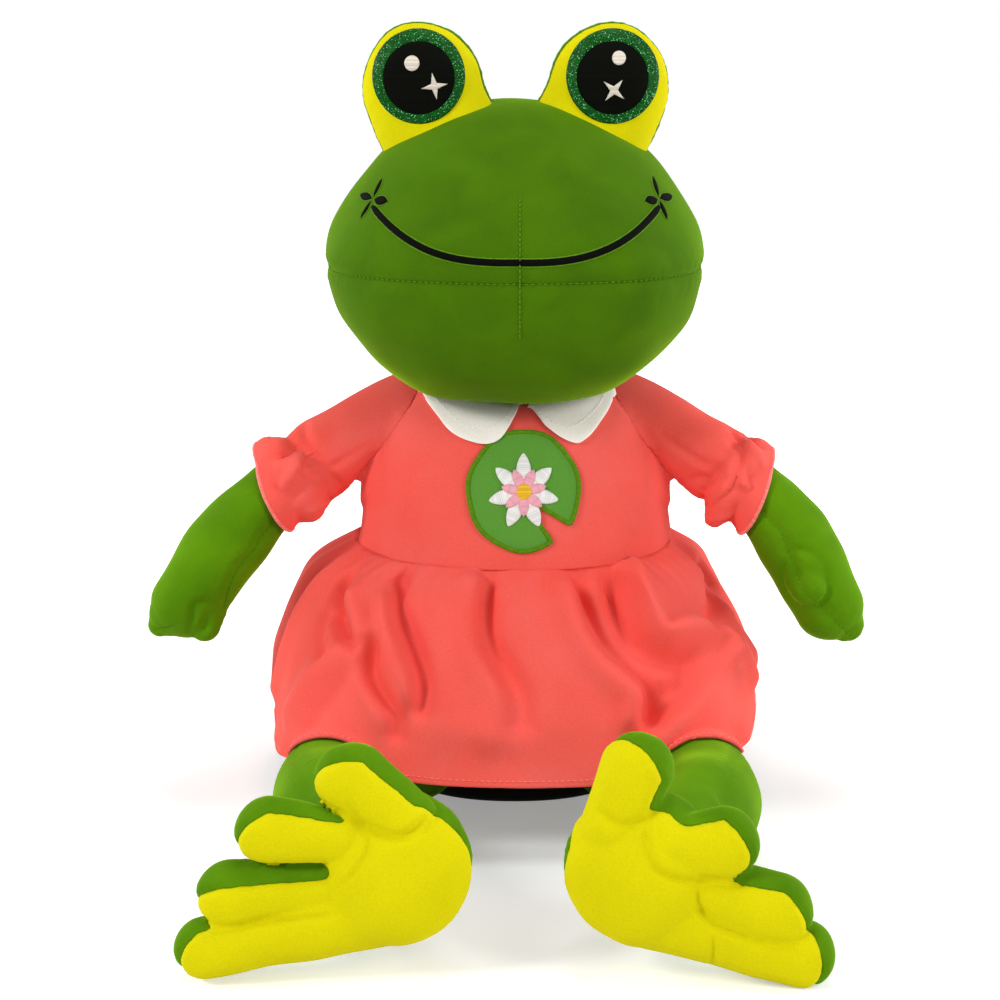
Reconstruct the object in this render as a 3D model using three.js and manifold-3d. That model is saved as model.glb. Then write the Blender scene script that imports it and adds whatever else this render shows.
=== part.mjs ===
// A plush frog in a dress, sitting with both feet out in front.
// Millimetres, +Z up. The frog faces -Y and its left hand is at +X.
// The origin is the middle of the flat seat that it rests on.
import * as THREE from 'three';
import { mergeVertices } from 'three/addons/utils/BufferGeometryUtils.js';
import Module from 'manifold-3d';

const wasm = await Module();
wasm.setup();

// Cloth and seams
const COVER_WALL = 3; // plush and its backing, round the filling
const FIT_GAP = 0.4; // between two pieces that touch
const SEAM_GAP = 1.2; // round a limb where it swings past the seam that carries it
const CLOTH = 2.2; // dress fabric with its pile
const DRESS_GAP = 0.5; // between body and dress
const OVERRUN = 40; // how far a cutter runs past what it cuts
const WELD = 0.0005; // points this close are one point

// Body
const TORSO_HEIGHT = 264;
const TORSO_HALF_WIDTH = 106;
const TORSO_FRONT = 92;
const TORSO_BACK = 86;
const SEAT_PANEL_HEIGHT = 20;

// Neck and head
const NECK_RADIUS = 30;
const NECK_SINK = 4; // neck centre below the top of the body
const NECK_BACK = 2;
const HEAD_HEIGHT = 195;
const HEAD_HALF_WIDTH = 121.5;
const HEAD_FRONT = 110;
const HEAD_BACK = 100;
const HEAD_FORWARD = 15; // widest section ahead of the origin
const CHIN_DROP = 3; // underside of the head below the neck centre
const RECESS_RADIUS = 66; // hollow under the head, so that it can nod
const RECESS_RIM = 76;
const RECESS_DEPTH = 17; // above the neck centre
const RECESS_LIP = 8;

// Eyes
const EYE_HALF_WIDTH = 38.5;
const EYE_HALF_HEIGHT = 43;
const EYE_HALF_DEPTH = 24;
const EYE_TILT_DEG = 14;
const IRIS_RADIUS = 28.8;
const IRIS_LIFT = 7.5; // centre of the iris above the middle of the eye
const IRIS_WALL = 1.2;
const PUPIL_RADIUS = 22.4;
const GLINT_WALL = 0.8;
const GLINT_DOT_RADIUS = 4.8;
const GLINT_STAR_REACH = 7.2;
const GLINT_STAR_WAIST = 1.9;

// Embroidered mouth
const MOUTH_HALF_WIDTH = 87;
const MOUTH_RISE = 29;
const MOUTH_LINE = 4.2;
const THREAD_WALL = 1;
const PETAL_LENGTH = 13;
const SHORT_PETAL_LENGTH = 8;
const PETAL_WIDTH = 4;

// Arms
const ARM_RADIUS = 20.5;
const ARM_OUT = 120; // shoulder to wrist
const ARM_FORWARD = 58;
const ARM_DROP = 109;
const HAND_LOBE = 15;
const THUMB_LOBE = 11;
const ARM_SWING_DEG = [-8, 60];

// Legs and feet
const LEG_RADIUS = 31;
const LEG_OUT = 50; // knee outside the hip
const ANKLE_OUT = 0;
const LEG_REACH = 218; // hip to ankle, forwards
const LEG_RISE = 20; // ankle above the hip
const ANKLE_RADIUS = 24;
const LEG_SWING_DEG = [-25, 30];
const ANKLE_SWING_DEG = [-12, 15];
const FOOT_TILT_DEG = 20; // the sole leans back from upright
const FOOT_AHEAD = 27; // middle of the foot ahead of the ankle
const FOOT_UP = 5;
const PALM_RADIUS = 42;
const PALM_HALF_DEPTH = 27;
const FOOT_LENGTH = 110; // middle of the heel to the middle of the longest toe's end
const TOE_RADIUS = 16.5;
const TOE_ROOT_RADIUS = 22;

// Dress
const WAIST_HEIGHT = 165;
const NECKLINE_RADIUS = 41;
const SLEEVE_CLEARANCE = 1;
const SLEEVE_LENGTH = 88; // shoulder to cuff
const SLEEVE_FLARE = 6;
const SKIRT_HALF_WIDTH = 160;
const SKIRT_FRONT = 166;
const SKIRT_BACK = 128;
const SKIRT_FRONT_DROP = 118;
const SKIRT_BACK_DROP = 148;
const SKIRT_LAP_LIFT = 20; // how much the hem rides up over each leg
const SKIRT_FOLDS = 13;
const SKIRT_FOLD_DEPTH = 7;
const COLLAR_WALL = 2.4;
const COLLAR_REACH = 66;
const COLLAR_FRONT = 67;
const COLLAR_BACK = 60;
const COLLAR_SPLIT = 1; // half the gap between the two collar pieces

// Chest badge: a lily pad with a water lily on it
const BADGE_RADIUS = 33;
const BADGE_DROP = 58; // middle of the badge below the top of the body
const BADGE_WALL = 1.2;
const LILY_RADIUS = 21;
const LILY_CENTRE_RADIUS = 5;

// Widths are shares of the half width, depths of the front and back depths.
// Each row: height, half width, front, back
const TORSO_SHARES = [
  [0, 0, 0, 0],
  [0, 0.7, 0.7, 0.64],
  [0.02, 0.82, 0.78, 0.76],
  [0.08, 0.93, 0.83, 0.87],
  [0.18, 0.99, 0.87, 0.96],
  [0.32, 1, 0.92, 1],
  [0.46, 0.98, 0.98, 1],
  [0.6, 0.955, 1, 0.97],
  [0.72, 0.92, 0.95, 0.92],
  [0.81, 0.89, 0.86, 0.84],
  [0.88, 0.84, 0.73, 0.74],
  [0.94, 0.78, 0.57, 0.6],
  [0.98, 0.66, 0.42, 0.45],
  [1, 0, 0, 0],
];
const HEAD_SHARES = [
  [0, 0, 0, 0],
  [0.01, 0.26, 0.3, 0.26],
  [0.035, 0.42, 0.47, 0.42],
  [0.08, 0.585, 0.64, 0.57],
  [0.14, 0.71, 0.79, 0.69],
  [0.22, 0.83, 0.89, 0.81],
  [0.3, 0.925, 0.95, 0.9],
  [0.39, 0.975, 0.99, 0.97],
  [0.47, 1, 1, 1],
  [0.56, 0.98, 0.98, 1],
  [0.66, 0.9, 0.91, 0.955],
  [0.76, 0.79, 0.79, 0.87],
  [0.85, 0.66, 0.64, 0.74],
  [0.925, 0.49, 0.45, 0.56],
  [0.98, 0.26, 0.23, 0.3],
  [1, 0, 0, 0],
];
const HEAD_SEAM_SHARE = 0.465; // height of the seam between crown and jaw
const SECTION_POWER = 2.2; // 2 is an ellipse, more is squarer
const SKIRT_POWER = 2.8;

// Where things sit on the body or head that carries them: across, deep and up
const SHOULDER_SHARES = [0.79, 0, 0.91];
const HIP_SHARES = [0.623, -0.76, 0.136];
const EYE_SHARES = [0.475, -0.06, 1.025];
const MOUTH_SHARE = 0.53; // lowest point of the smile, up the head
const MOUTH_CURVE_POWER = 3;

// Arm centre line: shares of out, forward and drop. The two arms hang a little differently.
const ARM_SHARES = {
  left: [[0, 0, 0], [0.31, 0.24, 0.17], [0.61, 0.52, 0.37], [0.85, 0.83, 0.7], [0.99, 0.97, 1]],
  right: [[0, 0, 0], [0.3, 0.24, 0.16], [0.58, 0.52, 0.35], [0.86, 0.8, 0.65], [1.07, 1, 0.98]],
};
const ARM_RADIUS_SHARES = [1, 1, 1.06, 1.27, 1.12];
// Lobes of the hand from the wrist, in lobe sizes: out, forward and up
const FINGER_LOBE_SHARES = { left: [0.45, 0.1, -0.35], right: [0.75, 0.05, -0.5] };
const THUMB_LOBE_SHARES = { left: [-1.15, 1.1, 0.9], right: [-0.9, 0.25, -0.95] };

// Leg centre line: shares of out, reach and rise, then of the leg's radius
const LEG_SHARES = [[0, 0, 0], [0.84, 0.23, -0.08], [1, 0.39, -0.13], [0.82, 0.62, -0.1], [0.4, 0.85, 0.28]];
const LEG_RADIUS_SHARES = [1, 1.02, 1.03, 0.99, 0.8];

// Toes: direction from outwards, upwards positive, and shares of the foot's length and toe's radius
const TOE_DIRECTIONS_DEG = { left: [91, -5, -21, -29], right: [63, 12, -10, -25.5] };
const TOE_REACH_SHARES = { left: [0.54, 0.46, 0.73, 0.9], right: [0.55, 0.67, 0.88, 1.05] };
const TOE_RADIUS_SHARES = { left: [1, 1.08, 1.08, 1.12], right: [0.94, 0.94, 1.02, 1] };
const TOE_LAYER_SHARES = [-0.1, -0.25, 0, 0.2]; // how far each toe stands ahead of the palm

// Skirt from the waist: fall, half width, front and back, as shares of what the hem adds
const SKIRT_SHARES = [
  [0, 0, 0, 0],
  [0.1, 0.42, 0.1, 0.36],
  [0.27, 0.68, 0.3, 0.62],
  [0.48, 0.86, 0.54, 0.8],
  [0.75, 0.97, 0.82, 0.94],
  [1, 1, 1, 1],
];
const SKIRT_LEG_DEG = 39; // where the legs come out, from the front
const SKIRT_LEG_SPREAD_DEG = 21;

// Collar outline in plan: shares of its reach across and of its front and back depths
const COLLAR_SHARES = [
  [0.05, -0.6], [0.16, -0.9], [0.36, -1], [0.62, -0.93], [0.86, -0.68], [0.99, -0.3],
  [1, 0.1], [0.94, 0.5], [0.72, 0.85], [0.4, 1], [0, 1],
];

// Highlights of each eye from the middle of the iris, in iris radii: across and up
const GLINT_DOT_SHARES = { left: [0.09, 0.42], right: [-0.18, 0.26] };
const GLINT_STAR_SHARES = { left: [0, -0.27], right: [0.28, -0.23] };
const GLINT_STAR_TURN_DEG = { left: 45, right: 11 };
// Petals at the corners of the mouth: directions from outwards
const PETAL_DEG = { left: [103, -68], right: [115, -57] };
const SHORT_PETAL_DEG = [0, 180];

const LILY_PETALS = 7;
const LILY_WIDTH_SHARE = 0.4; // of a petal's length
const LILY_INNER_SHARE = 0.6;
const BADGE_NOTCH_DEG = [-62, -34];

// Counts: sides round a form and steps along it, finer outside than inside
const OUTER_SIDES = 20;
const INNER_SIDES = 12;
const LIMB_SIDES = 10;
const FILL_SIDES = 6;
const NECK_SEAT_SIDES = 16;
const EYE_SIDES = 12;
const ARM_STEPS = 5;
const LEG_STEPS = 6;
const LIMB_END_RINGS = { outer: 3, inner: 2 };
const PETAL_STEPS = 4;
const DISC_STEPS = 8;
const FOOT_EXTRA_SIDES = 4;
const FOLD_STEPS = 4;
const MOUTH_STEPS = 12;
const SLEEVE_POINTS = 5;
const LEG_SAMPLES = 40;

// The rest are shares
const OPENING_SHARE = 0.55; // opening in a limb's root to its radius
const CUFF_CUT_SHARE = 2; // the cutter that opens a cuff, to the arm's radius
const SLEEVE_FLARE_SHARES = [0, 0, 0.1, 0.25, 1]; // how far the flare has come, shoulder to cuff

const COLOURS = {
  green: new THREE.MeshStandardMaterial({ color: 0x5f9a1e, roughness: 0.9, metalness: 0 }),
  yellow: new THREE.MeshStandardMaterial({ color: 0xefe312, roughness: 0.9, metalness: 0 }),
  coral: new THREE.MeshStandardMaterial({ color: 0xff6a60, roughness: 0.85, metalness: 0 }),
  white: new THREE.MeshStandardMaterial({ color: 0xf2efe9, roughness: 0.8, metalness: 0 }),
  black: new THREE.MeshStandardMaterial({ color: 0x0c0b0a, roughness: 0.85, metalness: 0 }),
  glitter: new THREE.MeshStandardMaterial({ color: 0x0c7a3a, roughness: 0.35, metalness: 0.4 }),
  glint: new THREE.MeshStandardMaterial({ color: 0xd6cec4, roughness: 0.8, metalness: 0 }),
  pink: new THREE.MeshStandardMaterial({ color: 0xe9a0ae, roughness: 0.8, metalness: 0 }),
  gold: new THREE.MeshStandardMaterial({ color: 0xeeb01e, roughness: 0.7, metalness: 0 }),
  fibre: new THREE.MeshStandardMaterial({ color: 0xf4f3ef, roughness: 1, metalness: 0 }),
};

const rad = THREE.MathUtils.degToRad;
const vec = (x, y, z) => new THREE.Vector3(x, y, z);
const frog = new THREE.Group();

// Solids

function solidOf(geometry) {
  const bare = new THREE.BufferGeometry();
  bare.setAttribute('position', geometry.getAttribute('position'));
  bare.setIndex(geometry.index);
  const merged = mergeVertices(bare, WELD);
  const triVerts = new Uint32Array(merged.index.array);
  const vertProperties = merged.attributes.position.array;
  return new wasm.Manifold(new wasm.Mesh({ numProp: 3, vertProperties, triVerts }));
}

function largestOf(solid) {
  const bodies = solid.decompose();
  return bodies.reduce((most, body) => (body.volume() > most.volume() ? body : most));
}

function addPiece(name, solid, material) {
  const { vertProperties, triVerts } = largestOf(solid).getMesh();
  const geometry = new THREE.BufferGeometry();
  geometry.setAttribute('position', new THREE.Float32BufferAttribute(vertProperties, 3));
  geometry.setIndex(new THREE.Uint32BufferAttribute(triVerts, 1));
  geometry.computeVertexNormals();
  const mesh = new THREE.Mesh(geometry, material);
  mesh.name = name;
  frog.add(mesh);
}

const joined = (solids) => solids.reduce((all, solid) => all.add(solid));
const cutBy = (solid, cutters) => cutters.reduce((left, cutter) => left.subtract(cutter), solid);

function turned(solid, pivot, axis, degrees) {
  const turn = new THREE.Matrix4().makeRotationAxis(axis, rad(degrees));
  const there = new THREE.Matrix4().makeTranslation(pivot);
  const back = there.clone().invert();
  return solid.transform(there.multiply(turn).multiply(back).elements);
}

// The hollow that a limb's round end is seated in, with room for the limb to swing to each of the angles
function socketOf(pivot, towards, radius, axis, swings) {
  const way = towards.clone().sub(pivot);
  const turn = new THREE.Quaternion().setFromUnitVectors(vec(0, 1, 0), way.clone().normalize());
  const clear = (radius + SEAM_GAP) / Math.cos(Math.PI / LIMB_SIDES);
  const tube = solidOf(new THREE.CylinderGeometry(clear, clear, way.length(), LIMB_SIDES)
    .translate(0, way.length() / 2, 0)
    .applyQuaternion(turn)
    .translate(pivot.x, pivot.y, pivot.z));
  const tubes = swings.map((degrees) => turned(tube, pivot, axis, degrees));
  return joined([seatOf(pivot, radius, LIMB_SIDES), ...tubes]);
}

// The round hollow that a ball-shaped end is seated in
function seatOf(centre, radius, sides) {
  return ballAround(centre, radius + FIT_GAP, sides);
}

function boxSolid(low, high) {
  const size = high.clone().sub(low);
  const middle = low.clone().add(high).divideScalar(2);
  return solidOf(new THREE.BoxGeometry(size.x, size.y, size.z).translate(middle.x, middle.y, middle.z));
}

function ballSolid(centre, radius, sides) {
  const ball = new THREE.SphereGeometry(radius, sides, sides / 2);
  return solidOf(ball.translate(centre.x, centre.y, centre.z));
}

// A ball whose flats, not its corners, lie at the radius
function ballAround(centre, radius, sides) {
  return ballSolid(centre, radius / Math.cos(Math.PI / sides) ** 2, sides);
}

// Skin over rings of points, closed to a point at each end
function skinOver(rings, first, last) {
  const sides = rings[0].length;
  const points = [first, ...rings.flat(), last];
  const end = points.length - 1;
  const at = (ring, side) => 1 + ring * sides + (side % sides);
  const faces = [];
  for (let side = 0; side < sides; side += 1) {
    faces.push(0, at(0, side + 1), at(0, side));
    for (let ring = 0; ring < rings.length - 1; ring += 1) {
      const [a, b] = [at(ring, side), at(ring, side + 1)];
      const [c, d] = [at(ring + 1, side + 1), at(ring + 1, side)];
      faces.push(a, b, c, a, c, d);
    }
    faces.push(end, at(rings.length - 1, side), at(rings.length - 1, side + 1));
  }
  return geometryOf(points, faces);
}

// Skin over rings whose last ring joins the first, such as a sheet with an inner and an outer face
function hoopOver(rings) {
  const sides = rings[0].length;
  const at = (ring, side) => (ring % rings.length) * sides + (side % sides);
  const faces = [];
  for (let ring = 0; ring < rings.length; ring += 1) {
    for (let side = 0; side < sides; side += 1) {
      const [a, b] = [at(ring, side), at(ring, side + 1)];
      const [c, d] = [at(ring + 1, side + 1), at(ring + 1, side)];
      faces.push(a, b, c, a, c, d);
    }
  }
  return geometryOf(rings.flat(), faces);
}

function geometryOf(points, faces) {
  const geometry = new THREE.BufferGeometry();
  const numbers = points.flatMap((point) => point.toArray());
  geometry.setAttribute('position', new THREE.Float32BufferAttribute(numbers, 3));
  geometry.setIndex(faces);
  return geometry;
}

// Stuffed forms

// A point of a rounded, squarish section: half width across, front and back depths
function sectionPoint(angle, [halfWidth, front, back], power) {
  const bend = (value) => Math.sign(value) * Math.abs(value) ** (2 / power);
  const depth = Math.sin(angle) < 0 ? front : back;
  return [halfWidth * bend(Math.cos(angle)), depth * bend(Math.sin(angle))];
}

// A body or head from its table of sections, thicker by grow all over
function stuffed(form, grow, sides, skip = 1) {
  const width = form.halfWidth + grow;
  const front = form.front + grow;
  const back = form.back + grow;
  const low = form.base.z - grow;
  const height = form.height + 2 * grow;
  const rows = form.shares.slice(1, -1).filter((_, row) => row % skip === 0);
  const rings = rows.map(([up, across, ahead, behind]) => Array.from({ length: sides }, (_, side) => {
    const angle = (2 * Math.PI * side) / sides;
    const [x, y] = sectionPoint(angle, [across * width, ahead * front, behind * back], SECTION_POWER);
    return vec(form.base.x + x, form.base.y + y, low + up * height);
  }));
  const foot = vec(form.base.x, form.base.y, low);
  return solidOf(skinOver(rings, foot, foot.clone().setZ(low + height)));
}

function lerpIn(values, share) {
  const place = share * (values.length - 1);
  const before = Math.min(Math.floor(place), values.length - 2);
  return THREE.MathUtils.lerp(values[before], values[before + 1], place - before);
}

// A limb along a curve, its radius changing along it, with round ends
function limb(points, radii, grow, sides, steps) {
  const curve = new THREE.CatmullRomCurve3(points);
  const frames = curve.computeFrenetFrames(steps, false);
  const endRings = grow < 0 ? LIMB_END_RINGS.inner : LIMB_END_RINGS.outer;
  const flats = grow > 0 ? 1 / Math.cos(Math.PI / sides) : 1; // what goes round a form clears its circle
  const radiusAt = (share) => flats * (lerpIn(radii, share) + grow);
  const ring = (centre, step, radius) => Array.from({ length: sides }, (_, side) => {
    const angle = (2 * Math.PI * side) / sides;
    const across = frames.normals[step].clone().multiplyScalar(radius * Math.cos(angle));
    return centre.clone().add(across)
      .addScaledVector(frames.binormals[step], radius * Math.sin(angle));
  });
  const round = (step, radius, side) => {
    const centre = curve.getPoint(step / steps);
    const tangent = frames.tangents[step];
    return Array.from({ length: endRings - 1 }, (_, index) => {
      const tilt = ((index + 1) * Math.PI) / 2 / endRings;
      const at = centre.clone().addScaledVector(tangent, side * radius * Math.sin(tilt));
      return ring(at, step, radius * Math.cos(tilt));
    });
  };
  const first = radiusAt(0);
  const last = radiusAt(1);
  const middle = Array.from({ length: steps + 1 }, (_, step) => {
    return ring(curve.getPoint(step / steps), step, radiusAt(step / steps));
  });
  const rings = [...round(0, first, -1).reverse(), ...middle, ...round(steps, last, 1)];
  const start = curve.getPoint(0).addScaledVector(frames.tangents[0], -first);
  const end = curve.getPoint(1).addScaledVector(frames.tangents[steps], last);
  return solidOf(skinOver(rings, start, end));
}

// A shape drawn across and up, run forward from the middle of what carries it
function runForward(shape, reach, frame = new THREE.Matrix4(), steps = PETAL_STEPS) {
  const options = { depth: reach, bevelEnabled: false, curveSegments: steps };
  return solidOf(new THREE.ExtrudeGeometry(shape, options).rotateX(Math.PI / 2).applyMatrix4(frame));
}

// A shape drawn across and deep, run from low to high
function runUp(shape, low, high) {
  const run = new THREE.ExtrudeGeometry(shape, { depth: high - low, bevelEnabled: false });
  return solidOf(run.translate(0, 0, low));
}

function outlineOf(points) {
  return new THREE.Shape(points.map(([x, y]) => new THREE.Vector2(x, y)));
}

// Places that the pieces share

const TORSO = {
  shares: TORSO_SHARES,
  height: TORSO_HEIGHT,
  halfWidth: TORSO_HALF_WIDTH,
  front: TORSO_FRONT,
  back: TORSO_BACK,
  base: vec(0, 0, 0),
};
const neck = vec(0, NECK_BACK, TORSO_HEIGHT - NECK_SINK);
const HEAD = {
  shares: HEAD_SHARES,
  height: HEAD_HEIGHT,
  halfWidth: HEAD_HALF_WIDTH,
  front: HEAD_FRONT,
  back: HEAD_BACK,
  base: vec(0, -HEAD_FORWARD, neck.z - CHIN_DROP),
};
const FILL_INSET = COVER_WALL + FIT_GAP;
const DRESS_OUTSIDE = DRESS_GAP + CLOTH;

function placeOn(form, [across, deep, up], side) {
  const depth = deep < 0 ? form.front : form.back;
  const x = side * across * form.halfWidth;
  return vec(form.base.x + x, form.base.y + deep * depth, form.base.z + up * form.height);
}

// The whole space ahead of, behind, above or below a plane
const FAR = TORSO_HEIGHT + HEAD_HEIGHT + LEG_REACH + FOOT_LENGTH;
const below = (height) => boxSolid(vec(-FAR, -FAR, height - 2 * FAR), vec(FAR, FAR, height));
const above = (height) => boxSolid(vec(-FAR, -FAR, height), vec(FAR, FAR, height + 2 * FAR));
const ahead = (depth) => boxSolid(vec(-FAR, depth - 2 * FAR, -FAR), vec(FAR, depth, FAR));
const behind = (depth) => boxSolid(vec(-FAR, depth, -FAR), vec(FAR, depth + 2 * FAR, FAR));

// Arms

function armOf(name, side) {
  const shoulder = placeOn(TORSO, SHOULDER_SHARES, side);
  const points = ARM_SHARES[name].map(([out, forward, drop]) => shoulder.clone()
    .add(vec(side * out * ARM_OUT, -forward * ARM_FORWARD, -drop * ARM_DROP)));
  const radii = ARM_RADIUS_SHARES.map((share) => share * ARM_RADIUS);
  const wrist = points[points.length - 1];
  const lobeAt = ([out, forward, up], size) => wrist.clone()
    .add(vec(side * out * size, -forward * size, up * size));
  const palm = points[points.length - 2];
  const form = (grow, sides) => joined([
    limb(points, radii, grow, sides, ARM_STEPS),
    limb([palm, lobeAt(FINGER_LOBE_SHARES[name], HAND_LOBE)], [HAND_LOBE, HAND_LOBE], grow, sides, 1),
    limb([palm, lobeAt(THUMB_LOBE_SHARES[name], HAND_LOBE)], [HAND_LOBE, THUMB_LOBE], grow, sides, 1),
  ]);
  const swings = [...ARM_SWING_DEG, 0];
  const socket = socketOf(shoulder, points[2], ARM_RADIUS, vec(0, -side, 0), swings);
  return { points, form, socket };
}

// Legs and feet

function legOf(name, side) {
  const hip = placeOn(TORSO, HIP_SHARES, side);
  const ankle = hip.clone().add(vec(side * ANKLE_OUT, -LEG_REACH, LEG_RISE));
  const bend = LEG_SHARES.map(([out, reach, rise]) => hip.clone()
    .add(vec(side * out * LEG_OUT, -reach * LEG_REACH, rise * LEG_RISE)));
  const points = [...bend, ankle];
  const radii = [...LEG_RADIUS_SHARES.map((share) => share * LEG_RADIUS), ANKLE_RADIUS];
  const form = (grow, sides) => limb(points, radii, grow, sides, LEG_STEPS);
  const lift = vec(-1, 0, 0);
  const hipSocket = socketOf(hip, points[1], LEG_RADIUS, lift, [...LEG_SWING_DEG, 0]);
  const ankleSwings = [...ANKLE_SWING_DEG.map((degrees) => -degrees), 0];
  const ankleSocket = socketOf(ankle, bend[bend.length - 1], ANKLE_RADIUS, lift, ankleSwings);
  const line = () => {
    const curve = new THREE.CatmullRomCurve3(points);
    const shares = Array.from({ length: LEG_SAMPLES + 1 }, (_, index) => index / LEG_SAMPLES);
    return {
      samples: shares.map((share) => curve.getPoint(share)),
      radii: shares.map((share) => lerpIn(radii, share)),
    };
  };
  return { ankle, points, form, line, hipSocket, ankleSocket };
}

function footOf(name, side, ankle) {
  const palm = ankle.clone().add(vec(0, -FOOT_AHEAD, FOOT_UP));
  const lean = rad(FOOT_TILT_DEG);
  const out = vec(side, 0, 0);
  const along = vec(0, Math.sin(lean), Math.cos(lean));
  const facing = vec(0, -Math.cos(lean), Math.sin(lean));
  const frame = new THREE.Matrix4()
    .makeBasis(vec(1, 0, 0), facing.clone().negate(), along)
    .setPosition(palm);
  const toes = TOE_DIRECTIONS_DEG[name].map((degrees, toe) => {
    const reach = TOE_REACH_SHARES[name][toe] * FOOT_LENGTH;
    const tip = palm.clone()
      .addScaledVector(out, reach * Math.cos(rad(degrees)))
      .addScaledVector(along, reach * Math.sin(rad(degrees)))
      .addScaledVector(facing, TOE_LAYER_SHARES[toe] * TOE_RADIUS);
    return { tip, radius: TOE_RADIUS_SHARES[name][toe] * TOE_RADIUS };
  });
  const form = (grow, sides) => {
    const pad = new THREE.SphereGeometry(1, sides + FOOT_EXTRA_SIDES, (sides + FOOT_EXTRA_SIDES) / 2)
      .scale(PALM_RADIUS + grow, PALM_HALF_DEPTH + grow, PALM_RADIUS + grow)
      .applyMatrix4(frame);
    const lobes = toes.map((toe) => limb([palm, toe.tip], [TOE_ROOT_RADIUS, toe.radius], grow, sides, 1));
    return joined([solidOf(pad), ...lobes]);
  };
  const front = solidOf(new THREE.BoxGeometry(2 * FAR, FAR, 2 * FAR)
    .translate(0, -FAR / 2, 0).applyMatrix4(frame));
  return { palm, facing, form, front };
}

// Eyes

function eyeOf(side) {
  const centre = placeOn(HEAD, EYE_SHARES, side);
  const frame = new THREE.Matrix4().makeRotationY(side * rad(EYE_TILT_DEG)).setPosition(centre);
  const form = (grow, sides) => solidOf(new THREE.SphereGeometry(1, sides, sides / 2)
    .scale(EYE_HALF_WIDTH + grow, EYE_HALF_DEPTH + grow, EYE_HALF_HEIGHT + grow)
    .applyMatrix4(frame));
  const layer = (shape, from, wall, steps) => form(from + wall, EYE_SIDES)
    .subtract(form(from, EYE_SIDES))
    .intersect(runForward(shape, EYE_HALF_DEPTH + OVERRUN, frame, steps));
  const front = solidOf(new THREE.BoxGeometry(2 * FAR, FAR, 2 * FAR)
    .translate(0, -FAR / 2, 0).applyMatrix4(frame));
  return { form, layer, front };
}

function disc(radius, [across, up] = [0, 0]) {
  return new THREE.Shape().absarc(across, up, radius, 0, 2 * Math.PI);
}

function starShape([across, up], reach, waist, turnDegrees) {
  const points = Array.from({ length: 8 }, (_, corner) => {
    const angle = rad(turnDegrees) + (corner * Math.PI) / 4;
    const radius = corner % 2 ? waist : reach;
    return [across + radius * Math.cos(angle), up + radius * Math.sin(angle)];
  });
  return outlineOf(points);
}

function petalShape(length, width, degrees, [across, up] = [0, 0]) {
  const middle = (length - width) / 2;
  const x = across + middle * Math.cos(rad(degrees));
  const y = up + middle * Math.sin(rad(degrees));
  return new THREE.Shape().absellipse(x, y, length / 2, width / 2, 0, 2 * Math.PI, false, rad(degrees));
}

function addEye(name, side, head) {
  const eye = eyeOf(side);
  const seat = head(FIT_GAP, OUTER_SIDES);
  const cover = eye.form(0, EYE_SIDES).subtract(eye.form(-COVER_WALL, FILL_SIDES)).subtract(seat);
  const seam = turnedEdge(eye.front);
  addPiece(`eye_front_${name}`, cover.intersect(eye.front), COLOURS.yellow);
  addPiece(`eye_back_${name}`, cover.subtract(seam), COLOURS.green);
  addPiece(`eye_fill_${name}`, eye.form(-FILL_INSET, FILL_SIDES).subtract(seat), COLOURS.fibre);

  const iris = disc(IRIS_RADIUS, [0, IRIS_LIFT]);
  iris.holes.push(new THREE.Path().absarc(0, IRIS_LIFT, PUPIL_RADIUS + FIT_GAP, 0, 2 * Math.PI));
  const ring = eye.layer(iris, FIT_GAP, IRIS_WALL, DISC_STEPS).subtract(seat);
  addPiece(`iris_ring_${name}`, ring, COLOURS.glitter);
  const pupil = disc(PUPIL_RADIUS, [0, IRIS_LIFT]);
  addPiece(`pupil_${name}`, eye.layer(pupil, FIT_GAP, IRIS_WALL, DISC_STEPS), COLOURS.black);

  const onPupil = IRIS_WALL + 2 * FIT_GAP;
  const place = ([across, up]) => [across * IRIS_RADIUS, IRIS_LIFT + up * IRIS_RADIUS];
  const dot = disc(GLINT_DOT_RADIUS, place(GLINT_DOT_SHARES[name]));
  const starPlace = place(GLINT_STAR_SHARES[name]);
  const star = starShape(starPlace, GLINT_STAR_REACH, GLINT_STAR_WAIST, GLINT_STAR_TURN_DEG[name]);
  addPiece(`glint_dot_${name}`, eye.layer(dot, onPupil, GLINT_WALL), COLOURS.glint);
  addPiece(`glint_star_${name}`, eye.layer(star, onPupil, GLINT_WALL), COLOURS.glint);
}

// The front half's space, grown over the seam by the gap between the two halves
function turnedEdge(front) {
  return front.add(front.translate([0, FIT_GAP, 0]));
}

// Head

function mouthShape() {
  const low = HEAD.base.z + MOUTH_SHARE * HEAD_HEIGHT;
  const at = (share) => new THREE.Vector2(
    share * MOUTH_HALF_WIDTH,
    low + MOUTH_RISE * Math.abs(share) ** MOUTH_CURVE_POWER,
  );
  const edge = (offset) => Array.from({ length: 2 * MOUTH_STEPS + 1 }, (_, step) => {
    const share = step / MOUTH_STEPS - 1;
    const slope = MOUTH_CURVE_POWER * MOUTH_RISE * Math.abs(share) ** (MOUTH_CURVE_POWER - 1)
      * Math.sign(share) / MOUTH_HALF_WIDTH;
    return at(share).add(new THREE.Vector2(-slope, 1).setLength(offset));
  });
  const lower = edge(-MOUTH_LINE / 2);
  const upper = edge(MOUTH_LINE / 2).reverse();
  return { shape: new THREE.Shape([...lower, ...upper]), end: at(1) };
}

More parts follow.
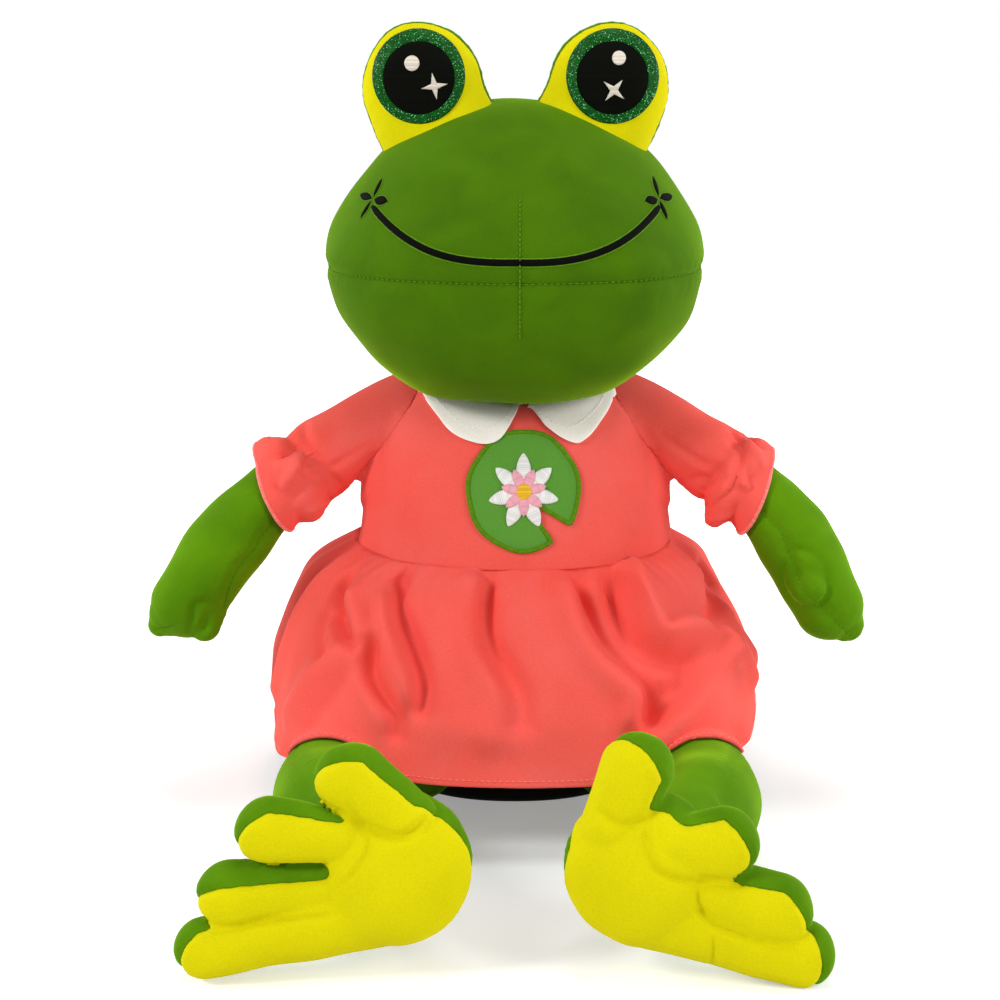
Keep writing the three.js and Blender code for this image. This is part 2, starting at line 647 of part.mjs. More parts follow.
function addHead() {
  const head = (grow, sides, skip) => stuffed(HEAD, grow, sides, skip);
  const socket = seatOf(neck, NECK_RADIUS, NECK_SEAT_SIDES);
  const recess = solidOf(new THREE.LatheGeometry([
    new THREE.Vector2(0, -OVERRUN),
    new THREE.Vector2(RECESS_RIM, -OVERRUN),
    new THREE.Vector2(RECESS_RIM, RECESS_LIP),
    new THREE.Vector2(RECESS_RADIUS, RECESS_DEPTH),
    new THREE.Vector2(0, RECESS_DEPTH),
  ], INNER_SIDES).rotateX(Math.PI / 2).translate(neck.x, neck.y, neck.z));
  const seam = HEAD.base.z + HEAD_SEAM_SHARE * HEAD_HEIGHT;
  const shell = cutBy(head(0, OUTER_SIDES).subtract(head(-COVER_WALL, INNER_SIDES, 2)), [socket, recess]);
  addPiece('head_crown_cover', shell.intersect(above(seam + FIT_GAP / 2)), COLOURS.green);
  addPiece('head_jaw_cover', shell.intersect(below(seam - FIT_GAP / 2)), COLOURS.green);
  const insideRecess = recess.translate([0, 0, FILL_INSET]);
  addPiece('head_fill', cutBy(head(-FILL_INSET, INNER_SIDES, 2), [socket, insideRecess]), COLOURS.fibre);

  const reach = HEAD_FORWARD + HEAD_FRONT + OVERRUN;
  const layer = (run) => head(FIT_GAP + THREAD_WALL, OUTER_SIDES)
    .subtract(head(FIT_GAP, OUTER_SIDES))
    .intersect(run);
  const mouth = mouthShape();
  const corner = (name, side, grow) => {
    const centre = [side * mouth.end.x, mouth.end.y + MOUTH_LINE];
    const turn = (degrees) => (side > 0 ? degrees : 180 - degrees);
    const petals = [
      ...PETAL_DEG[name].map((degrees) => [PETAL_LENGTH, degrees]),
      ...SHORT_PETAL_DEG.map((degrees) => [SHORT_PETAL_LENGTH, degrees]),
    ];
    return petals.map(([length, degrees]) => {
      return petalShape(length + 2 * grow, PETAL_WIDTH + 2 * grow, turn(degrees), centre);
    });
  };
  const cornerRuns = (name, side, grow) => joined(corner(name, side, grow)
    .map((shape) => runForward(shape, reach)));
  addPiece('mouth_line', cutBy(layer(runForward(mouth.shape, reach)), [
    cornerRuns('left', 1, FIT_GAP),
    cornerRuns('right', -1, FIT_GAP),
  ]), COLOURS.black);
  for (const [name, side] of SIDES) {
    addPiece(`mouth_corner_${name}`, layer(cornerRuns(name, side, 0)), COLOURS.black);
    addEye(name, side, head);
  }
}

// Body

function addBody(limbs) {
  const torso = (grow, sides, skip) => stuffed(TORSO, grow, sides, skip);
  const sockets = [
    seatOf(neck, NECK_RADIUS, NECK_SEAT_SIDES),
    ...limbs.map(({ arm }) => arm.socket),
    ...limbs.map(({ leg }) => leg.hipSocket),
  ];
  const shell = cutBy(torso(0, OUTER_SIDES).subtract(torso(-COVER_WALL, INNER_SIDES, 2)), sockets);
  const walls = shell.intersect(above(SEAT_PANEL_HEIGHT + FIT_GAP));
  addPiece('torso_front_cover', walls.intersect(ahead(-FIT_GAP / 2)), COLOURS.green);
  addPiece('torso_back_cover', walls.intersect(behind(FIT_GAP / 2)), COLOURS.green);
  addPiece('seat_panel', shell.intersect(below(SEAT_PANEL_HEIGHT)), COLOURS.black);
  addPiece('torso_fill', cutBy(torso(-FILL_INSET, INNER_SIDES, 2), sockets), COLOURS.fibre);
  addPiece('neck_fill', ballSolid(neck, NECK_RADIUS, INNER_SIDES), COLOURS.fibre);
}

// A round opening where a limb's cover is sewn to what carries it
function rootOpening(points, radius) {
  const direction = points[0].clone().sub(points[1]).normalize();
  const turn = new THREE.Quaternion().setFromUnitVectors(vec(0, 1, 0), direction);
  const drum = new THREE.CylinderGeometry(radius, radius, OVERRUN, FILL_SIDES)
    .translate(0, OVERRUN / 2, 0).applyQuaternion(turn);
  return solidOf(drum.translate(points[0].x, points[0].y, points[0].z));
}

function addLimbs({ name, arm, leg, foot }) {
  const armHole = rootOpening(arm.points, OPENING_SHARE * ARM_RADIUS);
  const armShell = arm.form(0, LIMB_SIDES).subtract(arm.form(-COVER_WALL, FILL_SIDES)).subtract(armHole);
  addPiece(`arm_cover_${name}`, armShell, COLOURS.green);
  addPiece(`arm_fill_${name}`, arm.form(-FILL_INSET, FILL_SIDES), COLOURS.fibre);

  const legHole = rootOpening(leg.points, OPENING_SHARE * LEG_RADIUS);
  const legShell = leg.form(0, LIMB_SIDES).subtract(leg.form(-COVER_WALL, FILL_SIDES)).subtract(legHole);
  addPiece(`leg_cover_${name}`, legShell, COLOURS.green);
  addPiece(`leg_fill_${name}`, leg.form(-FILL_INSET, FILL_SIDES), COLOURS.fibre);

  const floor = below(0);
  const footInside = foot.form(-COVER_WALL, FILL_SIDES);
  const footShell = cutBy(foot.form(0, LIMB_SIDES), [footInside, leg.ankleSocket, floor]);
  addPiece(`foot_sole_${name}`, footShell.intersect(foot.front), COLOURS.yellow);
  addPiece(`foot_top_${name}`, footShell.subtract(turnedEdge(foot.front)), COLOURS.green);
  const footFill = cutBy(foot.form(-FILL_INSET, FILL_SIDES), [leg.ankleSocket, floor]);
  addPiece(`foot_fill_${name}`, footFill, COLOURS.fibre);
}

// Dress

function sleeveOf(arm) {
  const curve = new THREE.CatmullRomCurve3(arm.points);
  const share = SLEEVE_LENGTH / curve.getLength();
  const points = Array.from({ length: SLEEVE_POINTS }, (_, index) => {
    return curve.getPointAt((share * index) / (SLEEVE_POINTS - 1));
  });
  const radii = SLEEVE_FLARE_SHARES.map((flare) => ARM_RADIUS + flare * SLEEVE_FLARE);
  const form = (grow, sides) => limb(points, radii, grow, sides, SLEEVE_POINTS - 1);
  const reversed = [...points].reverse();
  const cuff = rootOpening(reversed, CUFF_CUT_SHARE * ARM_RADIUS);
  return { form, cuff };
}

function addDress(limbs) {
  const torso = (grow) => stuffed(TORSO, grow, OUTER_SIDES);
  const neckline = solidOf(new THREE.CylinderGeometry(
    NECKLINE_RADIUS, NECKLINE_RADIUS, TORSO_HEIGHT, INNER_SIDES,
  ).rotateX(Math.PI / 2).translate(neck.x, neck.y, neck.z));
  const sleeves = limbs.map(({ name, arm }) => ({ name, ...sleeveOf(arm) }));
  const armholes = [
    ...sleeves.map((sleeve) => sleeve.form(SLEEVE_CLEARANCE, LIMB_SIDES)),
    ...limbs.map(({ arm }) => arm.socket),
  ];
  const bodice = cutBy(torso(DRESS_OUTSIDE).subtract(torso(DRESS_GAP)), [neckline, ...armholes]);
  addPiece('dress_bodice', bodice.intersect(above(WAIST_HEIGHT)), COLOURS.coral);

  const seat = torso(DRESS_OUTSIDE + FIT_GAP);
  for (const { name, form, cuff } of sleeves) {
    const shell = form(SLEEVE_CLEARANCE + CLOTH, LIMB_SIDES).subtract(form(SLEEVE_CLEARANCE, LIMB_SIDES));
    addPiece(`sleeve_${name}`, cutBy(shell, [seat, cuff]), COLOURS.coral);
  }

  const collarWall = torso(DRESS_OUTSIDE + FIT_GAP + COLLAR_WALL).subtract(seat).subtract(neckline);
  for (const [name, side] of SIDES) {
    const points = COLLAR_SHARES.map(([across, deep]) => [
      side * (COLLAR_SPLIT + across * (COLLAR_REACH - COLLAR_SPLIT)),
      deep * (deep < 0 ? COLLAR_FRONT : COLLAR_BACK),
    ]);
    const lobe = runUp(outlineOf(side > 0 ? points : points.reverse()), WAIST_HEIGHT, TORSO_HEIGHT + OVERRUN);
    addPiece(`collar_${name}`, collarWall.intersect(lobe), COLOURS.white);
  }
  addPiece('dress_skirt', skirtSolid(limbs), COLOURS.coral);
  addBadge(torso);
}

// Half width, front and back of a stuffed form at a height
function sectionAt(form, height) {
  const up = (height - form.base.z) / form.height;
  const next = form.shares.findIndex((row, index) => index > 1 && row[0] >= up);
  const [before, after] = [form.shares[next - 1], form.shares[next]];
  const blend = (up - before[0]) / (after[0] - before[0]);
  const [across, front, back] = [1, 2, 3].map((column) => {
    return THREE.MathUtils.lerp(before[column], after[column], blend);
  });
  return [across * form.halfWidth, front * form.front, back * form.back];
}

// Cloth that would pass through a leg is lifted onto it
function drapedOver(point, lines, clearance) {
  for (const { samples, radii } of lines) {
    let nearest = 0;
    samples.forEach((sample, index) => {
      const depth = radii[index] - sample.distanceTo(point);
      if (depth > radii[nearest] - samples[nearest].distanceTo(point)) nearest = index;
    });
    const away = point.clone().sub(samples[nearest]);
    const clear = radii[nearest] + clearance;
    if (away.length() < clear) point.copy(samples[nearest]).addScaledVector(away.normalize(), clear);
  }
  return point;
}

function skirtSolid(limbs) {
  const top = WAIST_HEIGHT - FIT_GAP;
  const waist = sectionAt(TORSO, top).map((size) => size + DRESS_OUTSIDE);
  const hem = [SKIRT_HALF_WIDTH, SKIRT_FRONT, SKIRT_BACK];
  const lines = limbs.map(({ leg }) => leg.line());
  const columns = SKIRT_FOLDS * FOLD_STEPS;
  const ring = ([fall, ...shares], inset) => Array.from({ length: columns }, (_, column) => {
    const angle = (2 * Math.PI * column) / columns;
    const fromFront = Math.acos(-Math.sin(angle));
    const fold = SKIRT_FOLD_DEPTH * fall * Math.sin(SKIRT_FOLDS * angle);
    const sizes = shares.map((share, index) => {
      return THREE.MathUtils.lerp(waist[index], hem[index], share) + fold - inset;
    });
    const [x, y] = sectionPoint(angle, sizes, THREE.MathUtils.lerp(SECTION_POWER, SKIRT_POWER, fall));
    const behindShare = (1 - Math.cos(fromFront)) / 2;
    const lap = Math.exp(-(((fromFront - rad(SKIRT_LEG_DEG)) / rad(SKIRT_LEG_SPREAD_DEG)) ** 2));
    const drop = THREE.MathUtils.lerp(SKIRT_FRONT_DROP, SKIRT_BACK_DROP, behindShare) - SKIRT_LAP_LIFT * lap;
    return drapedOver(vec(x, y, top - fall * drop), lines, DRESS_GAP + 2 * CLOTH - inset);
  });
  const outer = SKIRT_SHARES.map((row) => ring(row, 0)).reverse();
  const inner = SKIRT_SHARES.map((row) => ring(row, CLOTH));
  return solidOf(hoopOver([...outer, ...inner]));
}

function addBadge(torso) {
  const reach = TORSO_FRONT + OVERRUN;
  const step = BADGE_WALL + FIT_GAP;
  const layer = (shapes, level, steps) => {
    const from = DRESS_OUTSIDE + FIT_GAP + level * step;
    const runs = shapes.map((shape) => runForward(shape, reach, undefined, steps));
    return torso(from + BADGE_WALL).subtract(torso(from)).intersect(joined(runs));
  };
  const middle = [0, TORSO_HEIGHT - BADGE_DROP];
  const [notchStart, notchEnd] = BADGE_NOTCH_DEG.map(rad);
  const pad = new THREE.Shape().moveTo(...middle);
  pad.lineTo(middle[0] + BADGE_RADIUS * Math.cos(notchEnd), middle[1] + BADGE_RADIUS * Math.sin(notchEnd));
  pad.absarc(...middle, BADGE_RADIUS, notchEnd, notchStart + 2 * Math.PI);
  addPiece('badge_lily_pad', layer([pad], 0, DISC_STEPS), COLOURS.green);
  const petals = (count, length, offset) => Array.from({ length: count }, (_, index) => {
    return petalShape(length, length * LILY_WIDTH_SHARE, offset + (360 * index) / count, middle);
  });
  addPiece('badge_lily_petals', layer(petals(LILY_PETALS, LILY_RADIUS, 90), 1), COLOURS.white);
  const half = 180 / LILY_PETALS;
  const inner = petals(LILY_PETALS, LILY_INNER_SHARE * LILY_RADIUS, 90 + half);
  addPiece('badge_lily_inner_petals', layer(inner, 2), COLOURS.pink);
  addPiece('badge_lily_centre', layer([disc(LILY_CENTRE_RADIUS, middle)], 3), COLOURS.gold);
}

// The whole frog

const SIDES = [['left', 1], ['right', -1]];
const limbs = SIDES.map(([name, side]) => {
  const arm = armOf(name, side);
  const leg = legOf(name, side);
  return { name, arm, leg, foot: footOf(name, side, leg.ankle) };
});
addBody(limbs);
addHead();
limbs.forEach(addLimbs);
addDress(limbs);

export default frog;
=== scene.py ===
"""A plush frog in a dress, sitting with both feet out in front: its covers, face, dress and stitches."""
import math

import bmesh
import bpy
import numpy as np
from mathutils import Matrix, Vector
from mathutils.bvhtree import BVHTree
from mathutils.kdtree import KDTree


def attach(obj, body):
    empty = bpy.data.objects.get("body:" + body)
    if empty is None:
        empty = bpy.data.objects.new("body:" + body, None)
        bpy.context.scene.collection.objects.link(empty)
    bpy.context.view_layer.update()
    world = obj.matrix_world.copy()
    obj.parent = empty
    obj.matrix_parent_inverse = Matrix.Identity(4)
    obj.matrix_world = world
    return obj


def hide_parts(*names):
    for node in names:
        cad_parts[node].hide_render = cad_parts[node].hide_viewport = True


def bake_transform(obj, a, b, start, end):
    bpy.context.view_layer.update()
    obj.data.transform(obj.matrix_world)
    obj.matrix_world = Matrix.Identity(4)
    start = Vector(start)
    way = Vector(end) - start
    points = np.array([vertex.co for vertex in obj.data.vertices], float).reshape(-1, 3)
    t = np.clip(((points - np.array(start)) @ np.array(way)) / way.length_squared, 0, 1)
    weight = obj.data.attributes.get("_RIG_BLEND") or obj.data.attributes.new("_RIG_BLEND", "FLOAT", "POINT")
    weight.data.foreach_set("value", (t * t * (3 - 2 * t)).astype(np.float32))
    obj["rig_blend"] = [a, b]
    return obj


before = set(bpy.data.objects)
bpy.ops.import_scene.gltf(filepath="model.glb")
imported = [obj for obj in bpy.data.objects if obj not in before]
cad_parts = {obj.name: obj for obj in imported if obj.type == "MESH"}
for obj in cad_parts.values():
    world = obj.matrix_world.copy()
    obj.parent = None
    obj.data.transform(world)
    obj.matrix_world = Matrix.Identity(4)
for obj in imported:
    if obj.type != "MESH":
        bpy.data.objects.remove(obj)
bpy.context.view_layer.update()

bl_info = {
    "name": "Plush Frog in a Dress",
    "version": (1, 0, 0),
    "blender": (4, 5, 0),
    "location": "View3D > Sidebar > Plush Frog",
    "description": "Covers, face, dress and stitching of a seated plush frog, built round its packed frame",
    "category": "Add Mesh",
}

# Forms are worked out in millimetres, and a mesh is made in metres.
MM = 0.001
SIDES = (("left", 1), ("right", -1))
CUT_REACH = 0.2  # a point this near a cut lies on it
# Points round and up of the plain forms
HEAD_GRID, BODY_GRID, BODICE_GRID = (336, 170), (128, 80), (96, 60)
# Forms grown together: size of their cells, and how often they are smoothed
CELLS = {"arm": (1.8, 6), "foot": (1.3, 2), "dress": (2.2, 14)}
# Unevenness of the filling: height and size
LUMPS = {
    "head": (0.7, 75), "eye": (0.4, 40), "arm": (0.6, 45), "leg": (0.9, 60), "foot": (0.5, 40),
    "bodice": (0.8, 55),
}
# Stitches: length, gap and radius
DART_STITCH, COLLAR_STITCH, HEM_STITCH = (2.2, 0.9, 0.5), (2.2, 1.3, 0.28), (2.4, 1.4, 0.35)
THREAD_LIFT = 0.1

# Each row: height, half width, front and back, as shares of the form's own sizes
TORSO_SHARES = [
    [0, 0, 0, 0], [0, 0.7, 0.7, 0.64], [0.02, 0.82, 0.78, 0.76], [0.08, 0.93, 0.83, 0.87],
    [0.18, 0.99, 0.87, 0.96], [0.32, 1, 0.92, 1], [0.46, 0.98, 0.98, 1], [0.6, 0.955, 1, 0.97],
    [0.72, 0.92, 0.95, 0.92], [0.81, 0.89, 0.86, 0.84], [0.88, 0.84, 0.73, 0.74],
    [0.94, 0.78, 0.57, 0.6], [0.98, 0.66, 0.42, 0.45], [1, 0, 0, 0],
]
HEAD_SHARES = [
    [0, 0, 0, 0], [0.01, 0.26, 0.3, 0.26], [0.035, 0.42, 0.47, 0.42], [0.08, 0.585, 0.64, 0.57],
    [0.14, 0.71, 0.79, 0.69], [0.22, 0.83, 0.89, 0.81], [0.3, 0.925, 0.95, 0.9],
    [0.39, 0.975, 0.99, 0.97], [0.47, 1, 1, 1], [0.56, 0.98, 0.98, 1], [0.66, 0.9, 0.91, 0.955],
    [0.76, 0.79, 0.79, 0.87], [0.85, 0.66, 0.64, 0.74], [0.925, 0.49, 0.45, 0.56],
    [0.98, 0.26, 0.23, 0.3], [1, 0, 0, 0],
]
TORSO = {"shares": TORSO_SHARES, "size": (264, 106, 92, 86), "base": (0, 0, 0)}
HEAD = {"shares": HEAD_SHARES, "size": (195, 121.5, 110, 100), "base": (0, -15, 257)}
SECTION_POWER = 2.2
NECK = (0, 2, 260)
NECK_RADIUS = 30
NECK_COVER = (7, 7, 2)  # how much the cover of the neck is larger, so that no gap opens at the collar
HOLLOW_REACH = 72  # hollow under the head, over the collar
HOLLOW_TOP = 276
HEAD_SEAM = 347.7
DART = (401, 309)
DART_ACROSS = 2
SEAT_PANEL_TOP = 20

EYE_ACROSS, EYE_DEEP, EYE_UP = 57.7, -21.6, 456.9
EYE_SIZE = (38.5, 24, 43)
EYE_TILT = math.radians(14)
IRIS_LIFT = 9.6
IRIS_RADIUS = 28.8
PUPIL_RADIUS = 22.4
PUPIL_DROP = 1.2  # how much lower the pupil's middle lies than the ring's
EYE_SEAM = 2.5  # from the middle of an eye forward to where yellow and green meet
GLINTS = {
    "left": {"dot": (0.6, 21.2, 4.3), "star": (2.4, 1.6, 64)},
    "right": {"dot": (-1.8, 18.2, 4.7), "star": (8.2, 1.4, -4)},
}
STAR_TIP, STAR_WAIST = 8.4, 1.75
MOUTH = {"half_width": 87, "low": 360.4, "rise": 29, "power": 3, "line": 4.2}
# Petals at the corner of the mouth: direction from outwards, length and half width
CORNER_PETALS = {
    "left": ((103, 13, 1.7), (-68, 13, 1.7), (4, 9.5, 2.7), (184, 9, 3)),
    "right": ((115, 13, 1.6), (-57, 14, 1.6), (8, 9, 2.4), (-176, 9.5, 2.9)),
}

SHOULDER = (83.74, 0, 240.24)
ARM_SIZE = (120, 58, 109)  # shoulder to wrist: out, forward, down
ARM_SHARES = {
    "left": [(0, 0, 0), (0.31, 0.24, 0.17), (0.61, 0.52, 0.37), (0.85, 0.83, 0.7), (0.99, 0.97, 1)],
    "right": [(0, 0, 0), (0.3, 0.24, 0.16), (0.58, 0.52, 0.35), (0.86, 0.8, 0.65), (1.07, 1, 0.98)],
}
ARM_RADII = (16, 17, 21.2, 25.6, 22.5)
ARM_LOBE = 15  # radius at a lobe's root
# Lobes of the hand from the wrist: out, forward and up, then radius. The thumb is the last.
HAND_LOBES = {
    "left": [(6.8, 1.5, -5.2, 15), (10.4, 1.5, -10.6, 12.5), (-14.6, 13.5, 15, 12.5)],
    "right": [(9.5, 0.8, -6.8, 15), (17, 2, -13.5, 8.5), (-12.5, 7, -13, 10)],
}

HIP = (66.04, -69.92, 35.9)
LEG_SIZE = (50, 218, 20)  # hip to ankle: knee out, reach, rise
LEG_SHARES = [
    (0, 0, 0), (0.84, 0.23, 0.06), (0.96, 0.39, 0.18), (0.82, 0.62, 0.5), (0.4, 0.85, 0.72), (0, 1, 1),
]
LEG_RADII = (31, 32.4, 33.6, 32, 25.6, 24)
ANKLE_BEND = (30, 2)  # behind the ankle, where the leg starts to follow the foot and where it has

PALM = (66.04, -314.92, 60.9)
PALM_SIZE = (42, 25, 42)
FOOT_LEAN = math.radians(20)
# Each toe in the plane of the foot: root and tip as out and up, how far ahead it lies, radius at root
# and tip, the way its upper wraps and how many degrees it wraps
TOES = {
    "left": [
        ((-16, 21), (-3, 51), 9, 17, 20, (0.8, 0.6), 58),
        ((14, 11), (42, 12.5), 11, 15.5, 19.5, (0.75, 0.66), 58),
        ((20, -9), (71, -22), 3, 16.5, 19.5, (0.7, 0.7), 60),
        ((4, -20), (84, -45.5), -4, 23, 18.5, (0.95, 0.3), 56),
    ],
    "right": [
        ((-6, 25), (22, 46), 10, 17, 20, (0, 1), 56),
        ((28, 16), (66, 19.5), 10, 15, 18, (0.5, 0.87), 58),
        ((26, -9), (87, -14.5), 1, 15, 18, (0.15, 1), 74),
        ((4, -18), (101, -43), -5, 24, 16.5, (0.7, 0.7), 56),
    ],
}
TOE_DEPTH_SHARE = 0.86  # depth of a toe against its height
PALM_REACH = 36  # from the middle of the pad to where its surface counts as its own
SOLE_BLEND = 1.2
FLOOR_GAP = 0.3
# Below this height a foot is pressed flat, to a share of what it hangs lower
FLOOR_REACH, FLOOR_SHARE = 1.5, 0.3
PALM_TURN = math.radians(28)

WAIST = 165
DRESS_GAP = 1.2
CLOTH = 2.0
NECKLINE = 44
SLEEVE_LENGTH = 87
NECK_EDGE = 225  # the neckline lies above this height
GATHER = 63  # from the shoulder to the gathered line of a sleeve
SLEEVE_START = 45  # how far inside the shoulder a sleeve's form begins
SLEEVE_RADII = [24, 28, 27, 26, 26.5]
SLEEVE_ROOM = 3.4  # from an arm's surface to the outside of its sleeve, at least
# What counts as a sleeve: this near to its line and this far from the middle, and its free part farther out
SLEEVE_REACH, SLEEVE_FROM, SLEEVE_FREE = 40, 70, 90
CUFF_EDGE = 1.15
# The seam from the neck to the armpit: where it passes, across and up, and its way
RAGLAN_PLACE, RAGLAN_WAY = (59, 272), (0.83, 0.56)
# Where arm and sleeve start to bend together, which way from there and how far
SHOULDER_BEND, BEND_WAY, BEND_LENGTH = (99.8, 0, 240), (1, 0, 0.12), 22
# How far a cuff puffs out, how much more of it upwards, and how far its opening turns up
CUFFS = {"left": (7.3, -2.6, 0.27), "right": (6.0, 2.2, 0.2)}
# The puff along a cuff: from the gathered line in millimetres, and its share
CUFF_SHARES = [
    (-30, 0), (-12, 0), (-4, -0.14), (0, -0.34), (4, 0.3), (9, 0.88), (14, 1), (19, 0.72), (23, 0.05),
    (27, -0.5), (32, -0.6),
]
SKIRT_HEM = (160, 166, 128)  # half width, front, back
SKIRT_DROPS = (118, 148)  # in front, behind
SKIRT_SHIFT = 10  # degrees that the cloth in front is turned to the left at the hem
SKIRT_GRID = (720, 92)  # points round, points down
PER_DEGREE, FALL_LENGTH = 2.3, 125  # millimetres to a degree round and to the whole fall, for the folds
HEM_POWER = 2.8
# Over the thighs, beside the left leg and at the left hip: degrees from the front and spread in degrees
LAP, HEM_SIDE, HIP_SIDE = (39, 21), (88, 27), (80, 34)
LAP_RISE, LAP_FULL = {"left": 9, "right": 13}, 8  # how much higher the hem is there, and fuller
HEM_SIDE_RISE = 28
HIP_SLIM = 14  # how much flatter the skirt is at the hip, and from which share of the fall on less
HIP_SLIM_SHARE = 0.72
LAP_FOLD_DEPTH = 1.6
HEM_DRAW, HEM_ROWS = 14, 9  # from how far the hem is drawn to the legs, and rows smoothed after it
# Where the halves meet: lift and spread of the fold, how far its edge turns in, how far the other lies under
OVERLAP_LIFT, OVERLAP_SPREAD, OVERLAP_TURN, OVERLAP_UNDER = 2.3, 11, 3.3, 0.2
SKIRT_BEND_WAY, SKIRT_BEND = (0.45, -0.65, -0.6), (-10, 120)  # way of the bend, its start and length
SKIRT_SPANS = {"left": (-13, 185.5), "right": (-180, -7)}  # each half, in degrees round from the front
SKIRT_SHARES = [
    [0, 0, 0, 0], [0.1, 0.42, 0.1, 0.36], [0.27, 0.68, 0.3, 0.62], [0.48, 0.86, 0.54, 0.8],
    [0.75, 0.97, 0.82, 0.94], [1, 1, 1, 1],
]
# Folds at the skirt's sides and back: points as degrees from the front and share of the fall, then
# height and width
SKIRT_FOLDS = [
    ([(-76, 0), (-80, 0.3), (-84, 0.6)], -11, 8), ([(-98, 0), (-96, 0.5), (-94, 1)], 6, 11),
    ([(82, 0), (86, 0.3), (92, 0.7)], -9, 8), ([(104, 0), (106, 0.5), (108, 1)], 6, 11),
    ([(122, 0), (125, 0.5), (128, 1)], -8, 10), ([(146, 0), (149, 0.5), (150, 1)], -7, 9),
    ([(164, 0), (163, 0.5), (165, 1)], -7, 9), ([(-166, 0), (-168, 0.5), (-167, 1)], -7, 10),
    ([(-146, 0), (-144, 0.5), (-147, 1)], -8, 10), ([(-122, 0), (-119, 0.5), (-116, 1)], -8, 10),
]
# Folds over the lap, where the camera sees them: points across and down its frame, height and width
LAP_FOLDS = [
    ([(488, 574), (485, 603), (487, 637), (501, 665), (516, 693), (519, 722)], -7, 7),
    ([(477, 582), (472, 617), (475, 650), (487, 680), (497, 708), (493, 736)], 5, 11),
    ([(400, 572), (397, 603), (402, 621), (415, 648), (424, 680), (420, 706)], -7.5, 6),
    ([(388, 600), (390, 640), (398, 668), (405, 686), (409, 700)], 6.5, 8),
    ([(373, 645), (371, 672), (383, 696), (396, 714), (395, 732)], -6.5, 6),
    ([(356, 640), (360, 676), (374, 702), (388, 726)], 3.5, 8),
    ([(342, 580), (333, 603), (343, 630), (354, 645)], -7, 6),
    ([(354, 596), (359, 620), (366, 640)], 4, 7),
    ([(322, 612), (318, 632), (322, 654)], -3.5, 5),
    ([(340, 652), (316, 672), (292, 712)], 3.5, 11), ([(352, 668), (326, 700), (306, 730)], -3, 9),
    ([(577, 574), (588, 607), (602, 638), (626, 662), (650, 688), (652, 714), (636, 736)], -7.5, 7),
    ([(563, 590), (572, 622), (588, 652), (612, 678), (633, 698), (636, 722)], 5, 11),
    ([(629, 564), (639, 593), (650, 617), (659, 633), (688, 630), (716, 636), (723, 655)], 7, 8),
    ([(617, 584), (622, 612), (637, 640), (664, 656), (694, 662), (682, 684), (654, 712)], -8.5, 10),
    ([(727, 656), (712, 684), (684, 712), (655, 734)], 4, 11),
    ([(705, 566), (715, 600), (706, 626)], -4.5, 6), ([(724, 614), (740, 648), (750, 676)], 4, 8),
    ([(528, 620), (536, 670), (545, 720)], 2.5, 22), ([(440, 610), (446, 670), (452, 725)], 3, 16),
]
# Outline of each collar piece: in front across and down the camera's frame, behind as shares of its reach
COLLAR_FRONTS = {
    "right": [(521, 399), (519, 412), (513, 424), (507, 433), (501, 440), (492, 445), (483, 446), (466, 442),
              (455, 436), (446, 428), (437, 417), (429, 406), (424, 397)],
    "left": [(530, 399), (533, 412), (542, 425), (551, 433), (561, 440), (570, 444), (577, 445), (584, 441),
             (593, 433), (602, 421), (610, 407), (614, 395)],
}
COLLAR_BACK_SHARES = [(1, 0.05), (0.95, 0.45), (0.76, 0.82), (0.45, 1), (0.02, 1.02)]
COLLAR_REACH = (67, 60)  # across, back
COLLAR_INNER = 38
COLLAR_THICK = 2.1
BADGE = (5, 212, 35)  # across, height, radius
BADGE_NOTCH = (2, -3)
LILY_HEART = 5

# Seams and creases as the camera sees them: points across and down its frame
ARM_SEAMS = {
    "right": [(300, 500), (278, 517), (252, 552), (233, 578), (227, 596), (224, 612)],
    "left": [(740, 490), (759, 509), (781, 532), (793, 562), (808, 597), (823, 609), (838, 623), (852, 637)],
}
HAND_CREASES = {
    "right": [
        [(152, 631), (166, 629), (180, 625)],
        [(189, 629), (193, 616), (196, 603)],
        [(200, 634), (205, 626), (206, 618)],
        [(222, 606), (212, 602), (200, 603), (190, 608)],
    ],
    "left": [
        [(788, 552), (782, 564), (781, 578), (785, 592), (795, 602), (808, 607), (821, 604)],
        [(821, 604), (829, 592), (828, 576), (822, 562)],
        [(786, 553), (798, 549), (812, 553), (822, 562)],
    ],
}
LEG_SEAMS = {
    "right": [(284, 740), (291, 748), (300, 768), (310, 792)],
    "left": [(744, 722), (742, 742), (734, 768), (722, 800)],
}
# Creases where toes meet each other and the pad, then depth and width
TOE_CREASES = {
    "right": [
        ([(348, 806), (357, 818), (367, 827), (379, 834), (391, 837), (404, 836), (413, 832), (426, 815)],
         3.6, 5.5),
        ([(363, 828), (367, 840), (364, 856), (354, 872), (339, 888)], 2.6, 4.5),
        ([(219, 931), (240, 926), (262, 922), (285, 920), (310, 918), (326, 917)], 3.4, 4.5),
    ],
    "left": [
        ([(600, 812), (615, 822), (632, 824), (650, 814)], 2.6, 5.5),
        ([(652, 817), (647, 830), (648, 850), (657, 870), (678, 879), (702, 882), (726, 884), (742, 883)],
         3.8, 5),
        ([(704, 884), (698, 894), (700, 908), (708, 920), (728, 931), (750, 939), (775, 945), (796, 948)],
         3.8, 5),
        ([(713, 938), (714, 950), (711, 966)], 2.6, 4),
    ],
}
